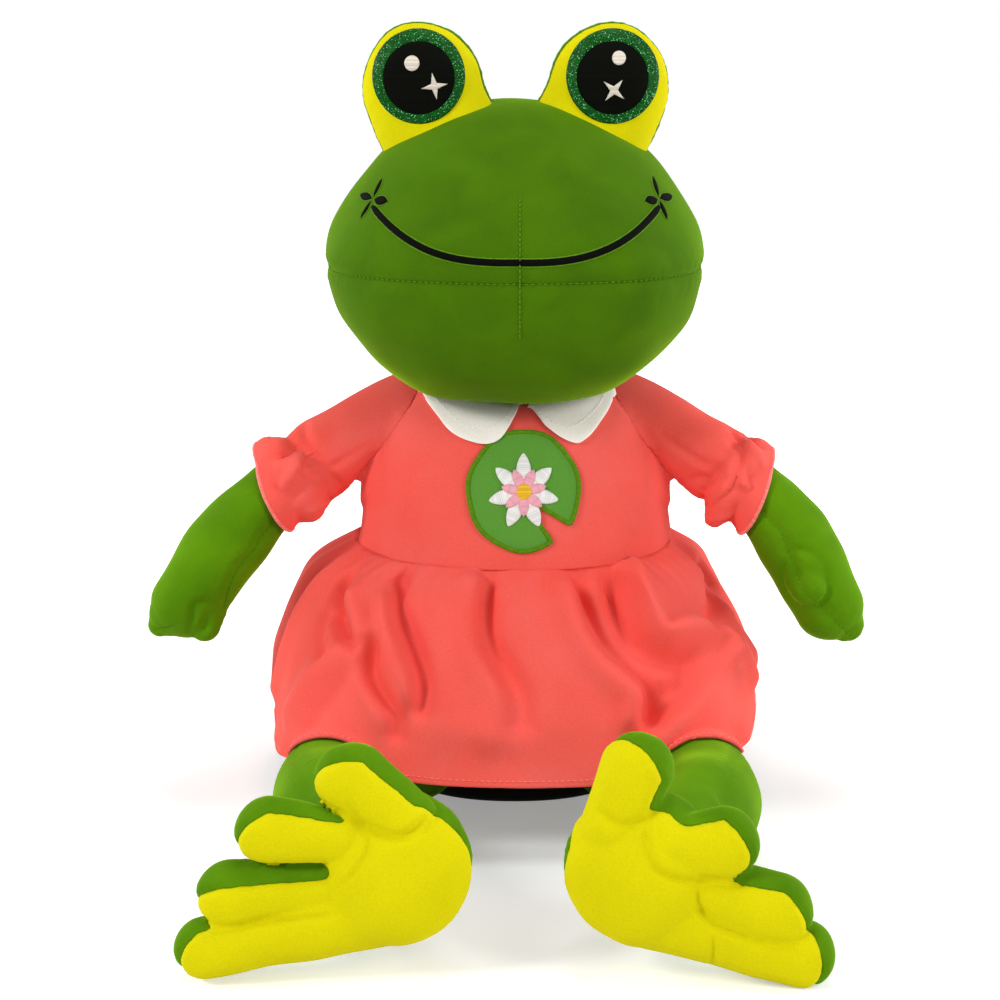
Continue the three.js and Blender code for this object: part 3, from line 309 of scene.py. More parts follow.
# Folds and seams of the sleeves, then height and width
SLEEVE_FOLDS = [
    ([(303, 425), (306, 446), (318, 462), (328, 474), (345, 489)], -4, 8),
    ([(300, 447), (285, 451), (270, 459)], -4.5, 8), ([(300, 436), (282, 441), (262, 452)], 1, 8),
    ([(302, 452), (294, 470), (283, 489)], 3.5, 8), ([(305, 462), (307, 475), (318, 480)], -3, 6),
    ([(284, 509), (304, 490), (326, 471), (349, 457), (374, 443)], -1.6, 5),
    ([(320, 482), (333, 487), (341, 488)], -2, 5), ([(310, 512), (322, 505), (334, 492)], 2, 7),
    ([(732, 429), (740, 443), (738, 467), (735, 488), (722, 500), (703, 508), (684, 492)], -4, 8),
    ([(745, 436), (758, 442), (771, 448)], -3.5, 7), ([(739, 434), (754, 451), (762, 464)], 3, 7),
    ([(744, 462), (750, 476), (755, 490)], -2.5, 6), ([(739, 472), (747, 491)], 2.5, 6),
    ([(755, 501), (735, 487), (716, 469), (697, 459), (661, 434)], -1.6, 5),
    ([(690, 480), (706, 478), (720, 482)], -2, 7), ([(700, 526), (716, 518), (734, 512)], 2.5, 8),
]
SLEEVE_FOLD_DEPTH = 1.7

CAMERA_PLACE = (-0.0097, -1.35, 0.50)
CAMERA_TILT = math.radians(77)
CAMERA_LENS = 74.84
CAMERA_SENSOR = 36
FRAME_SIZE = 1000
LAMP_AIM = (0, -0.05, 0.25)
FROM_FRONT, FROM_ABOVE = (0, 1, 0), (0, 0, -1)  # the ways in which things are laid on a surface
LAID_FROM = 400


def hermite(place, values, wanted):
    """Smooth values through rows of a table, whose places rise."""
    place, values = np.asarray(place, float), np.asarray(values, float)
    slope = np.gradient(values, place, axis=0)
    row = np.clip(np.searchsorted(place, wanted) - 1, 0, len(place) - 2)
    step = (place[row + 1] - place[row])[:, None]
    s = ((wanted - place[row]) / step[:, 0])[:, None]
    return ((2 * s**3 - 3 * s**2 + 1) * values[row] + (s**3 - 2 * s**2 + s) * step * slope[row]
            + (3 * s**2 - 2 * s**3) * values[row + 1] + (s**3 - s**2) * step * slope[row + 1])


def travel(points):
    """How far along a line of points each of them lies."""
    return np.concatenate([[0], np.cumsum(np.linalg.norm(np.diff(points, axis=0), axis=1))])


def run(points, count):
    """Points at even steps along a smooth line through the given ones."""
    points = np.asarray(points, float)
    place = travel(points)
    return hermite(place, points, np.linspace(0, place[-1], count))


def even_values(values, wanted):
    """Smooth values between ones that lie evenly from 0 to 1."""
    values = np.array(values, float)[:, None]
    return hermite(np.linspace(0, 1, len(values)), values, wanted)[:, 0]


def unit(v):
    v = np.asarray(v, float)
    return v / np.maximum(np.linalg.norm(v, axis=-1, keepdims=True), 1e-12)


def fade(value, low, high):
    """0 below low, 1 above high, smooth between."""
    s = np.clip((value - low) / (high - low), 0, 1)
    return s * s * (3 - 2 * s)


def bell(value, middle=0, spread=1):
    """1 at the middle, falling to nothing on both sides."""
    return np.exp(-(((value - middle) / spread) ** 2))


def turns(count):
    """Even angles once round."""
    return np.arange(count) * 2 * math.pi / count


def squarish(turn, power):
    """Across and deep of a circle drawn out towards its corners."""
    c, s = np.cos(turn), np.sin(turn)
    return np.sign(c) * np.abs(c) ** (2 / power), np.sign(s) * np.abs(s) ** (2 / power)


def mottle(points, size, seed=0):
    """Soft unevenness between about -1 and 1, with waves of about the given size."""
    way = np.array([[1, 0.3, -0.5], [-0.4, 1, 0.2], [0.3, -0.6, 1], [0.8, 0.9, 0.4], [-0.7, 0.5, 0.9]])
    total = np.zeros(len(points))
    for index, direction in enumerate(way):
        phase = seed * 1.7 + index * 2.1
        total += np.sin(points @ direction * (2 * math.pi / size) * (0.8 + 0.13 * index) + phase)
    return total / 2.5


# Meshes

def only(piece):
    """Leaves one piece selected and active."""
    bpy.ops.object.select_all(action="DESELECT")
    piece.select_set(True)
    bpy.context.view_layer.objects.active = piece
    return piece


def new_piece(name, points, faces, lengths=None):
    """A mesh of its own from points in millimetres. Lengths, one a point, go to its UV map across."""
    mesh = bpy.data.meshes.new(name)
    mesh.from_pydata((np.asarray(points, float) * MM).tolist(), [], faces)
    mesh.update()
    if lengths is not None:
        layer = mesh.uv_layers.new(name="thread")
        corner = np.zeros(len(mesh.loops), int)
        mesh.loops.foreach_get("vertex_index", corner)
        layer.data.foreach_set("uv", np.asarray(lengths, float)[corner].astype(np.float32).ravel())
    piece = bpy.data.objects.new(name, mesh)
    bpy.context.scene.collection.objects.link(piece)
    return piece


def skin(name, rings, start=None, end=None, hoop=False, lengths=None):
    """A skin over rings of points, closed round, with a point at either end or joined into a hoop."""
    rings = np.asarray(rings, float)
    count, sides = rings.shape[:2]
    points = rings.reshape(-1, 3)
    faces = []
    for row in range(count if hoop else count - 1):
        here, above = row * sides, (row + 1) % count * sides
        for side in range(sides):
            after = (side + 1) % sides
            faces.append((here + side, here + after, above + after, above + side))
    if start is not None:
        points = np.vstack([points, start])
        faces += [(len(points) - 1, (side + 1) % sides, side) for side in range(sides)]
    if end is not None:
        points = np.vstack([points, end])
        base = (count - 1) * sides
        faces += [(len(points) - 1, base + side, base + (side + 1) % sides) for side in range(sides)]
    return new_piece(name, points, faces, lengths)


def net(rows, columns, hoop=False):
    """Faces of a grid of points, row by row."""
    faces = []
    for row in range(rows - 1):
        for column in range(columns if hoop else columns - 1):
            here, after = row * columns + column, row * columns + (column + 1) % columns
            faces.append((here, here + columns, after + columns, after))
    return faces


def vectors(piece, kind):
    flat = np.zeros(len(piece.data.vertices) * 3, np.float32)
    piece.data.vertices.foreach_get(kind, flat)
    return flat.reshape(-1, 3).astype(float)


def coords(piece):
    return vectors(piece, "co") / MM


def set_coords(piece, points):
    piece.data.vertices.foreach_set("co", (points * MM).astype(np.float32).ravel())
    piece.data.update()


def outward(piece):
    return vectors(piece, "normal")


def finish_with(piece, kind, **settings):
    """Adds a modifier and applies it."""
    only(piece)
    modifier = piece.modifiers.new(kind.title(), kind)
    for key, value in settings.items():
        setattr(modifier, key, value)
    bpy.ops.object.modifier_apply(modifier=modifier.name)
    return piece


def face_outward(piece):
    only(piece)
    bpy.ops.object.mode_set(mode="EDIT")
    bpy.ops.mesh.select_all(action="SELECT")
    bpy.ops.mesh.normals_make_consistent(inside=False)
    bpy.ops.object.mode_set(mode="OBJECT")
    return piece


def gathered(pieces, name):
    """Several pieces as one."""
    only(pieces[0])
    for piece in pieces:
        piece.select_set(True)
    if len(pieces) > 1:
        bpy.ops.object.join()
    whole = bpy.context.view_layer.objects.active
    whole.name = name
    whole.data.name = name
    return whole


def joined(pieces, name, voxel, smooth):
    """Closed forms grown together into one skin, and smoothed where they meet."""
    whole = gathered(pieces, name)
    whole.data.remesh_voxel_size = voxel * MM
    whole.data.remesh_voxel_adaptivity = 0
    bpy.ops.object.voxel_remesh()
    finish_with(whole, "SMOOTH", factor=0.5, iterations=smooth)
    return whole


def smooth_shaded(piece):
    piece.data.polygons.foreach_set("use_smooth", [True] * len(piece.data.polygons))
    piece.data.update()
    return piece


def cut_line(piece, field):
    """New edges where a field over the points is zero. Gives back that line's points and their numbers."""
    mesh = bmesh.new()
    mesh.from_mesh(piece.data)
    mesh.verts.ensure_lookup_table()
    value = field(np.array([v.co for v in mesh.verts]) / MM)
    side = mesh.verts.layers.float.get("side") or mesh.verts.layers.float.new("side")
    for vertex, number in zip(mesh.verts, value):
        vertex[side] = 0 if abs(number) < CUT_REACH else number
    crossing = [e for e in mesh.edges if e.verts[0][side] * e.verts[1][side] < 0]
    for edge in crossing:
        a, b = edge.verts
        share = a[side] / (a[side] - b[side])
        _, fresh = bmesh.utils.edge_split(edge, a, share)
        fresh[side] = 0
    for face in list(mesh.faces):
        on_line = [v for v in face.verts if v[side] == 0]
        if len(on_line) != 2 or mesh.edges.get(on_line):
            continue
        bmesh.utils.face_split(face, on_line[0], on_line[1])
    index = np.array([number for number, v in enumerate(mesh.verts) if v[side] == 0], int)
    mesh.to_mesh(piece.data)
    mesh.free()
    return coords(piece)[index], index


def cut_along(piece, field):
    """New edges where a field over the points is zero. Gives back the points of that line."""
    return cut_line(piece, field)[0]


def side_of(piece, name, sign):
    """The part of a cut piece on one side of the line, as a mesh of its own."""
    part = piece.copy()
    part.data = piece.data.copy()
    part.name = name
    part.data.name = name
    bpy.context.scene.collection.objects.link(part)
    mesh = bmesh.new()
    mesh.from_mesh(part.data)
    side = mesh.verts.layers.float["side"]
    gone = [f for f in mesh.faces if sum(v[side] for v in f.verts) * sign <= 0]
    bmesh.ops.delete(mesh, geom=gone, context="FACES")
    mesh.verts.layers.float.remove(side)
    mesh.to_mesh(part.data)
    mesh.free()
    return part


def drop(piece):
    bpy.data.objects.remove(piece, do_unlink=True)


def drop_where(piece, gone):
    """Takes away the faces whose middle a test marks."""
    mesh = bmesh.new()
    mesh.from_mesh(piece.data)
    middles = np.array([f.calc_center_median() for f in mesh.faces]) / MM
    marked = gone(middles)
    faces = [face for face, out in zip(mesh.faces, marked) if out]
    bmesh.ops.delete(mesh, geom=faces, context="FACES")
    mesh.to_mesh(piece.data)
    mesh.free()
    return piece


def wall(piece, thickness, offset=-1):
    """Gives an open skin its thickness and closes its edges."""
    finish_with(piece, "SOLIDIFY", thickness=thickness * MM, offset=offset, use_even_offset=False,
                use_rim=True)
    return smooth_shaded(piece)


def distances(points, line):
    """Distance of each point from a line of points, and which of them is nearest."""
    tree = KDTree(len(line))
    for index, point in enumerate(line):
        tree.insert(point, index)
    tree.balance()
    found = [tree.find(point) for point in points]
    return np.array([f[2] for f in found]), np.array([f[1] for f in found])


def press(piece, line, depth, width, pucker=0.0, pitch=6.0, weights=None):
    """Sinks a piece into a round groove along a seam, drawn up in small puckers. No line, no groove."""
    if len(line) < 3:
        return
    points = coords(piece)
    away, near = distances(points, line)
    weight = np.ones(len(line)) if weights is None else np.asarray(weights, float)
    share = np.clip(1 - away / width, 0, 1) ** 2
    wide = np.clip(1 - away / (2.4 * width), 0, 1) ** 2
    ripple = mottle(points, pitch, 3)
    sink = weight[near] * (depth * share + pucker * wide * (1 - share) * ripple)
    set_coords(piece, points - outward(piece) * sink[:, None])


def lumps(piece, amount, size, seed=0):
    """The slight unevenness of filling under a cover."""
    points = coords(piece)
    set_coords(piece, points + outward(piece) * (amount * mottle(points, size, seed))[:, None])


def surface_of(*pieces):
    """A finder of places on pieces: from a point along a direction."""
    trees = []
    for piece in pieces:
        mesh = bmesh.new()
        mesh.from_mesh(piece.data)
        trees.append(BVHTree.FromBMesh(mesh))
        mesh.free()

    def find(point, direction):
        hits = [tree.ray_cast(Vector(point) * MM, Vector(direction)) for tree in trees]
        hits = [hit for hit in hits if hit[0] is not None]
        if not hits:
            return None
        place, normal, _, _ = min(hits, key=lambda hit: hit[3])
        normal = normal if normal.dot(Vector(direction)) < 0 else -normal
        return np.array(place) / MM, np.array(normal)

    return find


def laid(find, flat, direction, fallback=None):
    """Lays flat points on a surface along a direction, and gives the places and the ways out of it."""
    direction = np.asarray(direction, float)
    start = np.asarray(flat, float) - direction * LAID_FROM
    places, normals = [], []
    last = fallback
    for point in start:
        found = find(point, direction) or last
        last = found
        places.append(found[0])
        normals.append(found[1])
    return np.array(places), np.array(normals)


def sighted(find, points):
    """Places on a surface that lie under points of the camera's frame. Points beside it are left out."""
    tilt = math.pi / 2 - CAMERA_TILT
    focal = CAMERA_LENS / CAMERA_SENSOR * FRAME_SIZE
    places = []
    for across, down in points:
        u, v = (across - FRAME_SIZE / 2) / focal, (FRAME_SIZE / 2 - down) / focal
        way = unit([u, math.cos(tilt) + v * math.sin(tilt), -math.sin(tilt) + v * math.cos(tilt)])
        found = find(np.array(CAMERA_PLACE) / MM, way)
        if found is not None:
            places.append(found[0])
    return np.array(places)


def traced(find, points, count):
    """Places on a surface under a smooth line through points of the camera's frame."""
    return sighted(find, run([(*p, 0) for p in points], count)[:, :2])


# Forms

def stuffed_rings(form, grow, columns, rows, power=SECTION_POWER):
    """Rings up a stuffed body or head, from its lowest to its highest point."""
    size = np.array(form["size"], float) + [2 * grow, grow, grow, grow]
    table = np.array(form["shares"], float) * size
    flip = np.array([1, -1, -1, -1])
    table = np.vstack([table[1] * flip, table, table[-2] * flip])
    place = travel(table[:, :2])
    values = hermite(place, table, np.linspace(place[1], place[-2], rows))
    across, deep = squarish(turns(columns), power)
    rings = np.zeros((rows, columns, 3))
    rings[:, :, 0] = values[:, 1:2] * across
    rings[:, :, 1] = np.where(deep < 0, values[:, 2:3], values[:, 3:4]) * deep
    rings[:, :, 2] = values[:, 0:1] - grow
    return rings + np.array(form["base"], float)


def stuffed(name, form, grow, columns, rows):
    rings = stuffed_rings(form, grow, columns, rows)
    return skin(name, rings[1:-1], rings[0].mean(0), rings[-1].mean(0))


def frames_along(line):
    """Directions along, across and out of a line, turning as little as they can."""
    along = unit(np.gradient(line, axis=0))
    across = [unit(np.cross(along[0], [0, 0, 1] if abs(along[0][2]) < 0.9 else [1, 0, 0]))]
    for way in along[1:]:
        last = across[-1]
        across.append(unit(last - way * np.dot(last, way)))
    across = np.array(across)
    return along, across, np.cross(along, across)


def tube(name, points, radii, sides=32, steps=40, ends=8):
    """A round limb along a line, its radius changing along it, with round ends."""
    line = run(points, steps)
    radius = even_values(radii, np.linspace(0, 1, steps))
    along, across, out = frames_along(line)
    angle = turns(sides)

    def ring(centre, row, size):
        return centre + size * (np.cos(angle)[:, None] * across[row] + np.sin(angle)[:, None] * out[row])

    def cap(row, sign, tilts):
        reach = sign * along[row] * radius[row]
        return [ring(line[row] + reach * math.sin(t), row, radius[row] * math.cos(t)) for t in tilts]

    tilts = np.linspace(0, math.pi / 2, ends + 1)[1:-1]
    rings = cap(0, -1, tilts[::-1])
    rings += [ring(line[row], row, radius[row]) for row in range(steps)]
    rings += cap(-1, 1, tilts)
    return skin(name, rings, line[0] - along[0] * radius[0], line[-1] + along[-1] * radius[-1])


def ball(name, centre, size, axes=np.eye(3), sides=48):
    """A ball of three half sizes, turned to the given axes."""
    centre = np.asarray(centre, float)
    angle = turns(sides)
    rings = []
    for t in np.linspace(-math.pi / 2, math.pi / 2, sides // 2 + 1)[1:-1]:
        flat = math.cos(t) * np.cos(angle), math.cos(t) * np.sin(angle), np.full(sides, math.sin(t))
        rings.append(centre + (np.stack(flat, 1) * size) @ axes)
    pole = np.array([0, 0, size[2]]) @ axes
    return skin(name, rings, centre - pole, centre + pole)


def satin(name, places, normals, widths, height, sides=12):
    """A flattened cord of satin stitch laid along places on a surface, its threads running across."""
    places, normals = np.asarray(places, float), np.asarray(normals, float)
    along = unit(np.gradient(places, axis=0))
    across = unit(np.cross(along, normals))
    out = unit(np.cross(across, along))
    angle = turns(sides)
    rings = []
    for row, width in enumerate(widths):
        rise = height * min(1, width / max(widths) + 0.25)
        rings.append(places[row] + (np.cos(angle) * width)[:, None] * across[row]
                     + ((0.55 + np.sin(angle)) * rise)[:, None] * out[row])
    place = travel(places)
    lengths = np.stack([np.repeat(place, sides), np.tile(angle, len(place))], 1)
    lengths = np.vstack([lengths, [place[0], 0], [place[-1], 0]])
    piece = skin(name, rings, rings[0].mean(0), rings[-1].mean(0), lengths=lengths)
    return smooth_shaded(face_outward(piece))


def patch(name, find, outline, direction, lift, thickness, rings=14, middle=None):
    """A thin sewn patch with a soft edge, laid on a surface from its middle out to its outline."""
    outline = np.asarray(outline, float)
    middle = outline.mean(0) if middle is None else np.asarray(middle, float)
    shares = np.sin(np.linspace(0, math.pi / 2, rings + 1)[1:])
    flat = np.concatenate([middle + (outline - middle) * share for share in shares])
    places, normals = laid(find, np.vstack([middle, flat]), direction)
    places = places + normals * lift
    count = len(outline)
    rise = np.concatenate([[1], np.repeat((1 - shares**8) ** 0.5, count)])
    top = places + normals * (thickness * rise)[:, None]
    upper = top[1:].reshape(rings, count, 3)
    lower = places[1:].reshape(rings, count, 3)[::-1][1:]
    levels = np.concatenate([upper, lower])
    under = flat.reshape(rings, count, 3)[::-1][1:].reshape(-1, 3)
    lengths = np.concatenate([flat, under, [middle], [middle]])
    piece = skin(name, levels, top[0], places[0], lengths=lengths[:, [2, 0]])
    return smooth_shaded(face_outward(piece))


def stitches(name, places, normals, length, gap, radius):
    """A row of short thread stitches, one small capsule copied along a line."""
    places = np.asarray(places, float)
    place = travel(places)
    starts = np.arange(gap, place[-1] - length, length + gap)
    table = np.hstack([places, normals])

    def at(where):
        return np.stack([np.interp(where, place, table[:, column]) for column in range(6)], 1)

    ends = at(starts), at(starts + length)
    sides = 6
    angle = turns(sides)
    template = [(0.12, 0.75), (0.35, 1.0), (0.65, 1.0), (0.88, 0.75)]
    last = len(template) - 1
    round_it = [(side, (side + 1) % sides) for side in range(sides)]
    points, faces = [], []
    for a, b in zip(*ends):
        along = unit(b[:3] - a[:3])
        out = unit(a[3:] + b[3:])
        across = np.cross(along, out)
        base = len(points)
        for share, size in template:
            centre = a[:3] + (b[:3] - a[:3]) * share + out * radius * 1.3 * math.sin(share * math.pi)
            points += [centre + radius * size * (math.cos(t) * across + math.sin(t) * out) for t in angle]
        points += [a[:3], b[:3]]
        top, tips = base + last * sides, base + len(template) * sides
        for lower in range(base, top, sides):
            upper = lower + sides
            faces += [(lower + side, lower + after, upper + after, upper + side) for side, after in round_it]
        for side, after in round_it:
            faces += [(tips, base + after, base + side), (tips + 1, top + side, top + after)]
    return smooth_shaded(face_outward(new_piece(name, points, faces)))


def normals_at(piece, line):
    """Ways out of a piece at the points of a line, from its nearest corners."""
    points, out = coords(piece), outward(piece)
    _, near = distances(line, points)
    return unit(out[near])


def resampled(line, step):
    """Points at even steps along a line, smoothed a little."""
    place = travel(line)
    where = np.arange(0, place[-1], step)
    even = np.stack([np.interp(where, place, line[:, column]) for column in range(3)], 1)
    for _ in range(3):
        even[1:-1] = (even[:-2] + 2 * even[1:-1] + even[2:]) / 4
    return even


# Finishes

def group(name, inputs, outputs):
    """An empty node group with named inputs and outputs."""
    tree = bpy.data.node_groups.new(name, "ShaderNodeTree")
    for label, kind, default in inputs:
        socket = tree.interface.new_socket(label, in_out="INPUT", socket_type=kind)
        socket.default_value = default
    for label, kind in outputs:
        tree.interface.new_socket(label, in_out="OUTPUT", socket_type=kind)
    return tree, tree.nodes.new("NodeGroupInput"), tree.nodes.new("NodeGroupOutput")


def node(tree, kind, links=(), **settings):
    """One node, with its settings, its input values by name or number and its links."""
    made = tree.nodes.new(kind)
    values = settings.pop("values", {})
    for key, value in settings.items():
        setattr(made, key, value)
    for key, value in values.items():
        made.inputs[key].default_value = value
    for key, source in dict(links).items():
        tree.links.new(source, made.inputs[key])
    return made


def connect(tree, target, **sources):
    """Links outputs to a node's inputs by their labels, an underscore for a space."""
    for label, source in sources.items():
        tree.links.new(source, target.inputs[label.replace("_", " ")])


def maths(tree, operation, first, second=None, kind="ShaderNodeMath"):
    """A sum on one or two values or vectors, of which the second may be a number."""
    if second is None:
        made = node(tree, kind, {0: first}, operation=operation)
    elif isinstance(second, bpy.types.NodeSocket):
        made = node(tree, kind, {0: first, 1: second}, operation=operation)
    else:
        made = node(tree, kind, {0: first}, operation=operation, values={1: second})
    return made.outputs[0]


def ranged(tree, value, low, high, start=0.0, end=1.0):
    """A value between start and end, carried over to between low and high."""
    return node(tree, "ShaderNodeMapRange", {"Value": value}, values={
        "From Min": start, "From Max": end, "To Min": low, "To Max": high}).outputs[0]


def mixed(tree, share, first, second):
    """A colour between two others, of which the second may be a value."""
    mix = node(tree, "ShaderNodeMix", {0: share}, data_type="RGBA")
    sockets = [i for i in mix.inputs if i.type == "RGBA"]
    tree.links.new(first, sockets[0])
    if isinstance(second, bpy.types.NodeSocket):
        tree.links.new(second, sockets[1])
    else:
        sockets[1].default_value = second
    return [o for o in mix.outputs if o.type == "RGBA"][0]


def brightened(tree, colour, value):
    return node(tree, "ShaderNodeHueSaturation", {"Color": colour, "Value": value}).outputs[0]


def noise(tree, place, size, detail, **values):
    """Noise at a size that is a value or an output."""
    links = {"Vector": place}
    if isinstance(size, bpy.types.NodeSocket):
        links["Scale"] = size
    else:
        values["Scale"] = size
    return node(tree, "ShaderNodeTexNoise", links, values={"Detail": detail, **values}).outputs["Fac"]


def pile_group():
    """Short pile: tone that wanders with the nap, and the height of the fibres."""
    tree, start, end = group("Short pile", [
        ("Colour", "NodeSocketColor", (0.1, 0.3, 0.02, 1)),
        ("Nap light", "NodeSocketColor", (0.3, 0.5, 0.05, 1)),
        ("Nap size", "NodeSocketFloat", 70.0),
        ("Nap amount", "NodeSocketFloat", 0.35),
        ("Fibre size", "NodeSocketFloat", 1300.0),
    ], [("Colour", "NodeSocketColor"), ("Height", "NodeSocketFloat"), ("Rough", "NodeSocketFloat")])
    given = start.outputs
    place = node(tree, "ShaderNodeTexCoord").outputs["Object"]
    nap = noise(tree, place, given["Nap size"], 2.5, Roughness=0.45, Distortion=0.4)
    fibre = noise(tree, place, given["Fibre size"], 3.0, Roughness=0.6)
    tuft = noise(tree, place, 420.0, 2.0)
    amount = maths(tree, "MULTIPLY", ranged(tree, nap, 0.0, 1.0, 0.3, 0.75), given["Nap amount"])
    toned = mixed(tree, amount, given["Colour"], given["Nap light"])
    grain = ranged(tree, fibre, 0.92, 1.07, 0.3, 0.7)
    connect(tree, end, Colour=brightened(tree, toned, grain), Height=maths(tree, "ADD", fibre, tuft),
            Rough=ranged(tree, nap, 0.78, 0.95))
    return tree


def thread_group():
    """Threads lying side by side: their height, and a tone from thread to thread."""
    tree, start, end = group("Satin threads", [
        ("Along", "NodeSocketVector", (0, 0, 0)),
        ("Pitch", "NodeSocketFloat", 0.55),
        ("Colour", "NodeSocketColor", (0.5, 0.5, 0.5, 1)),
    ], [("Colour", "NodeSocketColor"), ("Height", "NodeSocketFloat")])
    along = node(tree, "ShaderNodeSeparateXYZ", {0: start.outputs["Along"]}).outputs[0]
    passed = maths(tree, "DIVIDE", along, start.outputs["Pitch"])
    wave = maths(tree, "SINE", maths(tree, "MULTIPLY", passed, 2 * math.pi))
    tone = node(tree, "ShaderNodeTexWhiteNoise", {"W": maths(tree, "FLOOR", passed)}, noise_dimensions="1D")
    value = ranged(tree, tone.outputs["Value"], 0.85, 1.12)
    connect(tree, end, Colour=brightened(tree, start.outputs["Colour"], value), Height=wave)
    return tree


def glitter_group():
    """Flakes of glitter on dark film: tone, sheen mask and a turned normal for each flake."""
    tree, start, end = group("Glitter flakes", [
        ("Film", "NodeSocketColor", (0, 0.1, 0.03, 1)),
        ("Flake", "NodeSocketColor", (0.1, 0.7, 0.3, 1)),
        ("Bright flake", "NodeSocketColor", (0.2, 0.64, 0.28, 1)),
        ("Flake size", "NodeSocketFloat", 2300.0),
    ], [("Colour", "NodeSocketColor"), ("Shine", "NodeSocketFloat"), ("Normal", "NodeSocketVector")])
    given = start.outputs
    place = node(tree, "ShaderNodeTexCoord").outputs["Object"]
    cells = node(tree, "ShaderNodeTexVoronoi", {"Vector": place, "Scale": given["Flake size"]})
    split = node(tree, "ShaderNodeSeparateXYZ", {0: cells.outputs["Color"]})
    flakes = mixed(tree, ranged(tree, split.outputs[0], 0.0, 1.0, 0.55, 0.98), given["Film"], given["Flake"])
    bright = maths(tree, "GREATER_THAN", split.outputs[1], 0.96)
    vector = "ShaderNodeVectorMath"
    turn = maths(tree, "SUBTRACT", cells.outputs["Color"], (0.5, 0.5, 0.5), vector)
    small = node(tree, vector, {0: turn}, operation="SCALE", values={"Scale": 0.55}).outputs[0]
    shape = node(tree, "ShaderNodeNewGeometry").outputs["Normal"]
    connect(tree, end, Colour=mixed(tree, bright, flakes, given["Bright flake"]),
            Shine=maths(tree, "MULTIPLY", split.outputs[2], 0.25),
            Normal=maths(tree, "NORMALIZE", maths(tree, "ADD", shape, small, vector), None, vector))
    return tree


def weave_group():
    """Fine knit or felt: crossed ribs mixed with loose fibre."""
    tree, start, end = group("Knit and felt", [
        ("Colour", "NodeSocketColor", (0.5, 0.5, 0.5, 1)),
        ("Rib size", "NodeSocketFloat", 900.0),
        ("Rib amount", "NodeSocketFloat", 0.5),
    ], [("Colour", "NodeSocketColor"), ("Height", "NodeSocketFloat")])
    place = node(tree, "ShaderNodeTexCoord").outputs["Object"]
    ribs = node(tree, "ShaderNodeTexWave", {"Vector": place, "Scale": start.outputs["Rib size"]},
                bands_direction="X", values={"Distortion": 2.0, "Detail": 1.0})
    scaled = maths(tree, "MULTIPLY", ribs.outputs["Fac"], start.outputs["Rib amount"])
    both = maths(tree, "ADD", scaled, noise(tree, place, 1500.0, 4.0))
    value = ranged(tree, both, 0.8, 1.12, 0.3, 1.0)
    connect(tree, end, Colour=brightened(tree, start.outputs["Colour"], value), Height=both)
    return tree


def blank(name, **values):
    """A new finish with its surface shader, values set on the shader's own sockets."""
    found = bpy.data.materials.new(name)
    found.use_nodes = True
    shader = found.node_tree.nodes["Principled BSDF"]
    for label, value in values.items():
        shader.inputs[label.replace("_", " ")].default_value = value
    return found, found.node_tree, shader


def grouped(tree, shader, builder, name, **values):
    """A finish's own copy of a shared group, its values set, its colour taken to the shader."""
    made = node(tree, "ShaderNodeGroup", node_tree=bpy.data.node_groups.get(name) or builder())
    for label, value in values.items():
        made.inputs[label.replace("_", " ")].default_value = value
    connect(tree, shader, Base_Color=made.outputs["Colour"])
    return made


def bumped(tree, shader, height, strength, distance):
    bump = node(tree, "ShaderNodeBump", {"Height": height},
                values={"Strength": strength, "Distance": distance * MM})
    connect(tree, shader, Normal=bump.outputs[0])


def pile(name, colour, light, sheen, tint, amount=0.35, nap=26.0, strength=0.22):
    """Short plush or velour."""
    found, tree, shader = blank(name, Sheen_Weight=sheen, Sheen_Roughness=0.35, Sheen_Tint=tint,
                                Specular_IOR_Level=0.08)
    made = grouped(tree, shader, pile_group, "Short pile", Colour=colour, Nap_light=light, Nap_size=nap,
                   Nap_amount=amount)
    connect(tree, shader, Roughness=made.outputs["Rough"])
    bumped(tree, shader, made.outputs["Height"], strength, 0.5)
    return found


def thread(name, colour, roughness=0.42, pitch=0.6, sheen=0.3, gloss=0.25):
    """Satin stitch whose threads lie across the piece's thread map."""
    found, tree, shader = blank(name, Roughness=roughness, Sheen_Weight=sheen, Sheen_Roughness=0.4,
                                Specular_IOR_Level=gloss)
    made = grouped(tree, shader, thread_group, "Satin threads", Pitch=pitch, Colour=colour)
    connect(tree, made, Along=node(tree, "ShaderNodeUVMap").outputs[0])
    bumped(tree, shader, made.outputs["Height"], 0.6, 0.12)
    return found


def woven(name, colour, ribs, amount, roughness=0.9, strength=0.5):
    """Felt or fine knit."""
    found, tree, shader = blank(name, Roughness=roughness, Sheen_Weight=0.1, Sheen_Roughness=0.5,
                                Specular_IOR_Level=0.2)
    made = grouped(tree, shader, weave_group, "Knit and felt", Colour=colour, Rib_size=ribs,
                   Rib_amount=amount)
    bumped(tree, shader, made.outputs["Height"], strength, 0.3)
    return found


def glitter(name, film, flake):
    found, tree, shader = blank(name, Specular_IOR_Level=0.1, Roughness=0.38)
    made = grouped(tree, shader, glitter_group, "Glitter flakes", Film=film, Flake=flake)
    connect(tree, shader, Metallic=made.outputs["Shine"], Normal=made.outputs["Normal"])
    return found


def linear(colour):
    """A colour as it is seen, written for a shader."""
    return [*(c / 12.92 if c <= 0.04045 else ((c + 0.055) / 1.055) ** 2.4 for c in colour[:3]), 1.0]


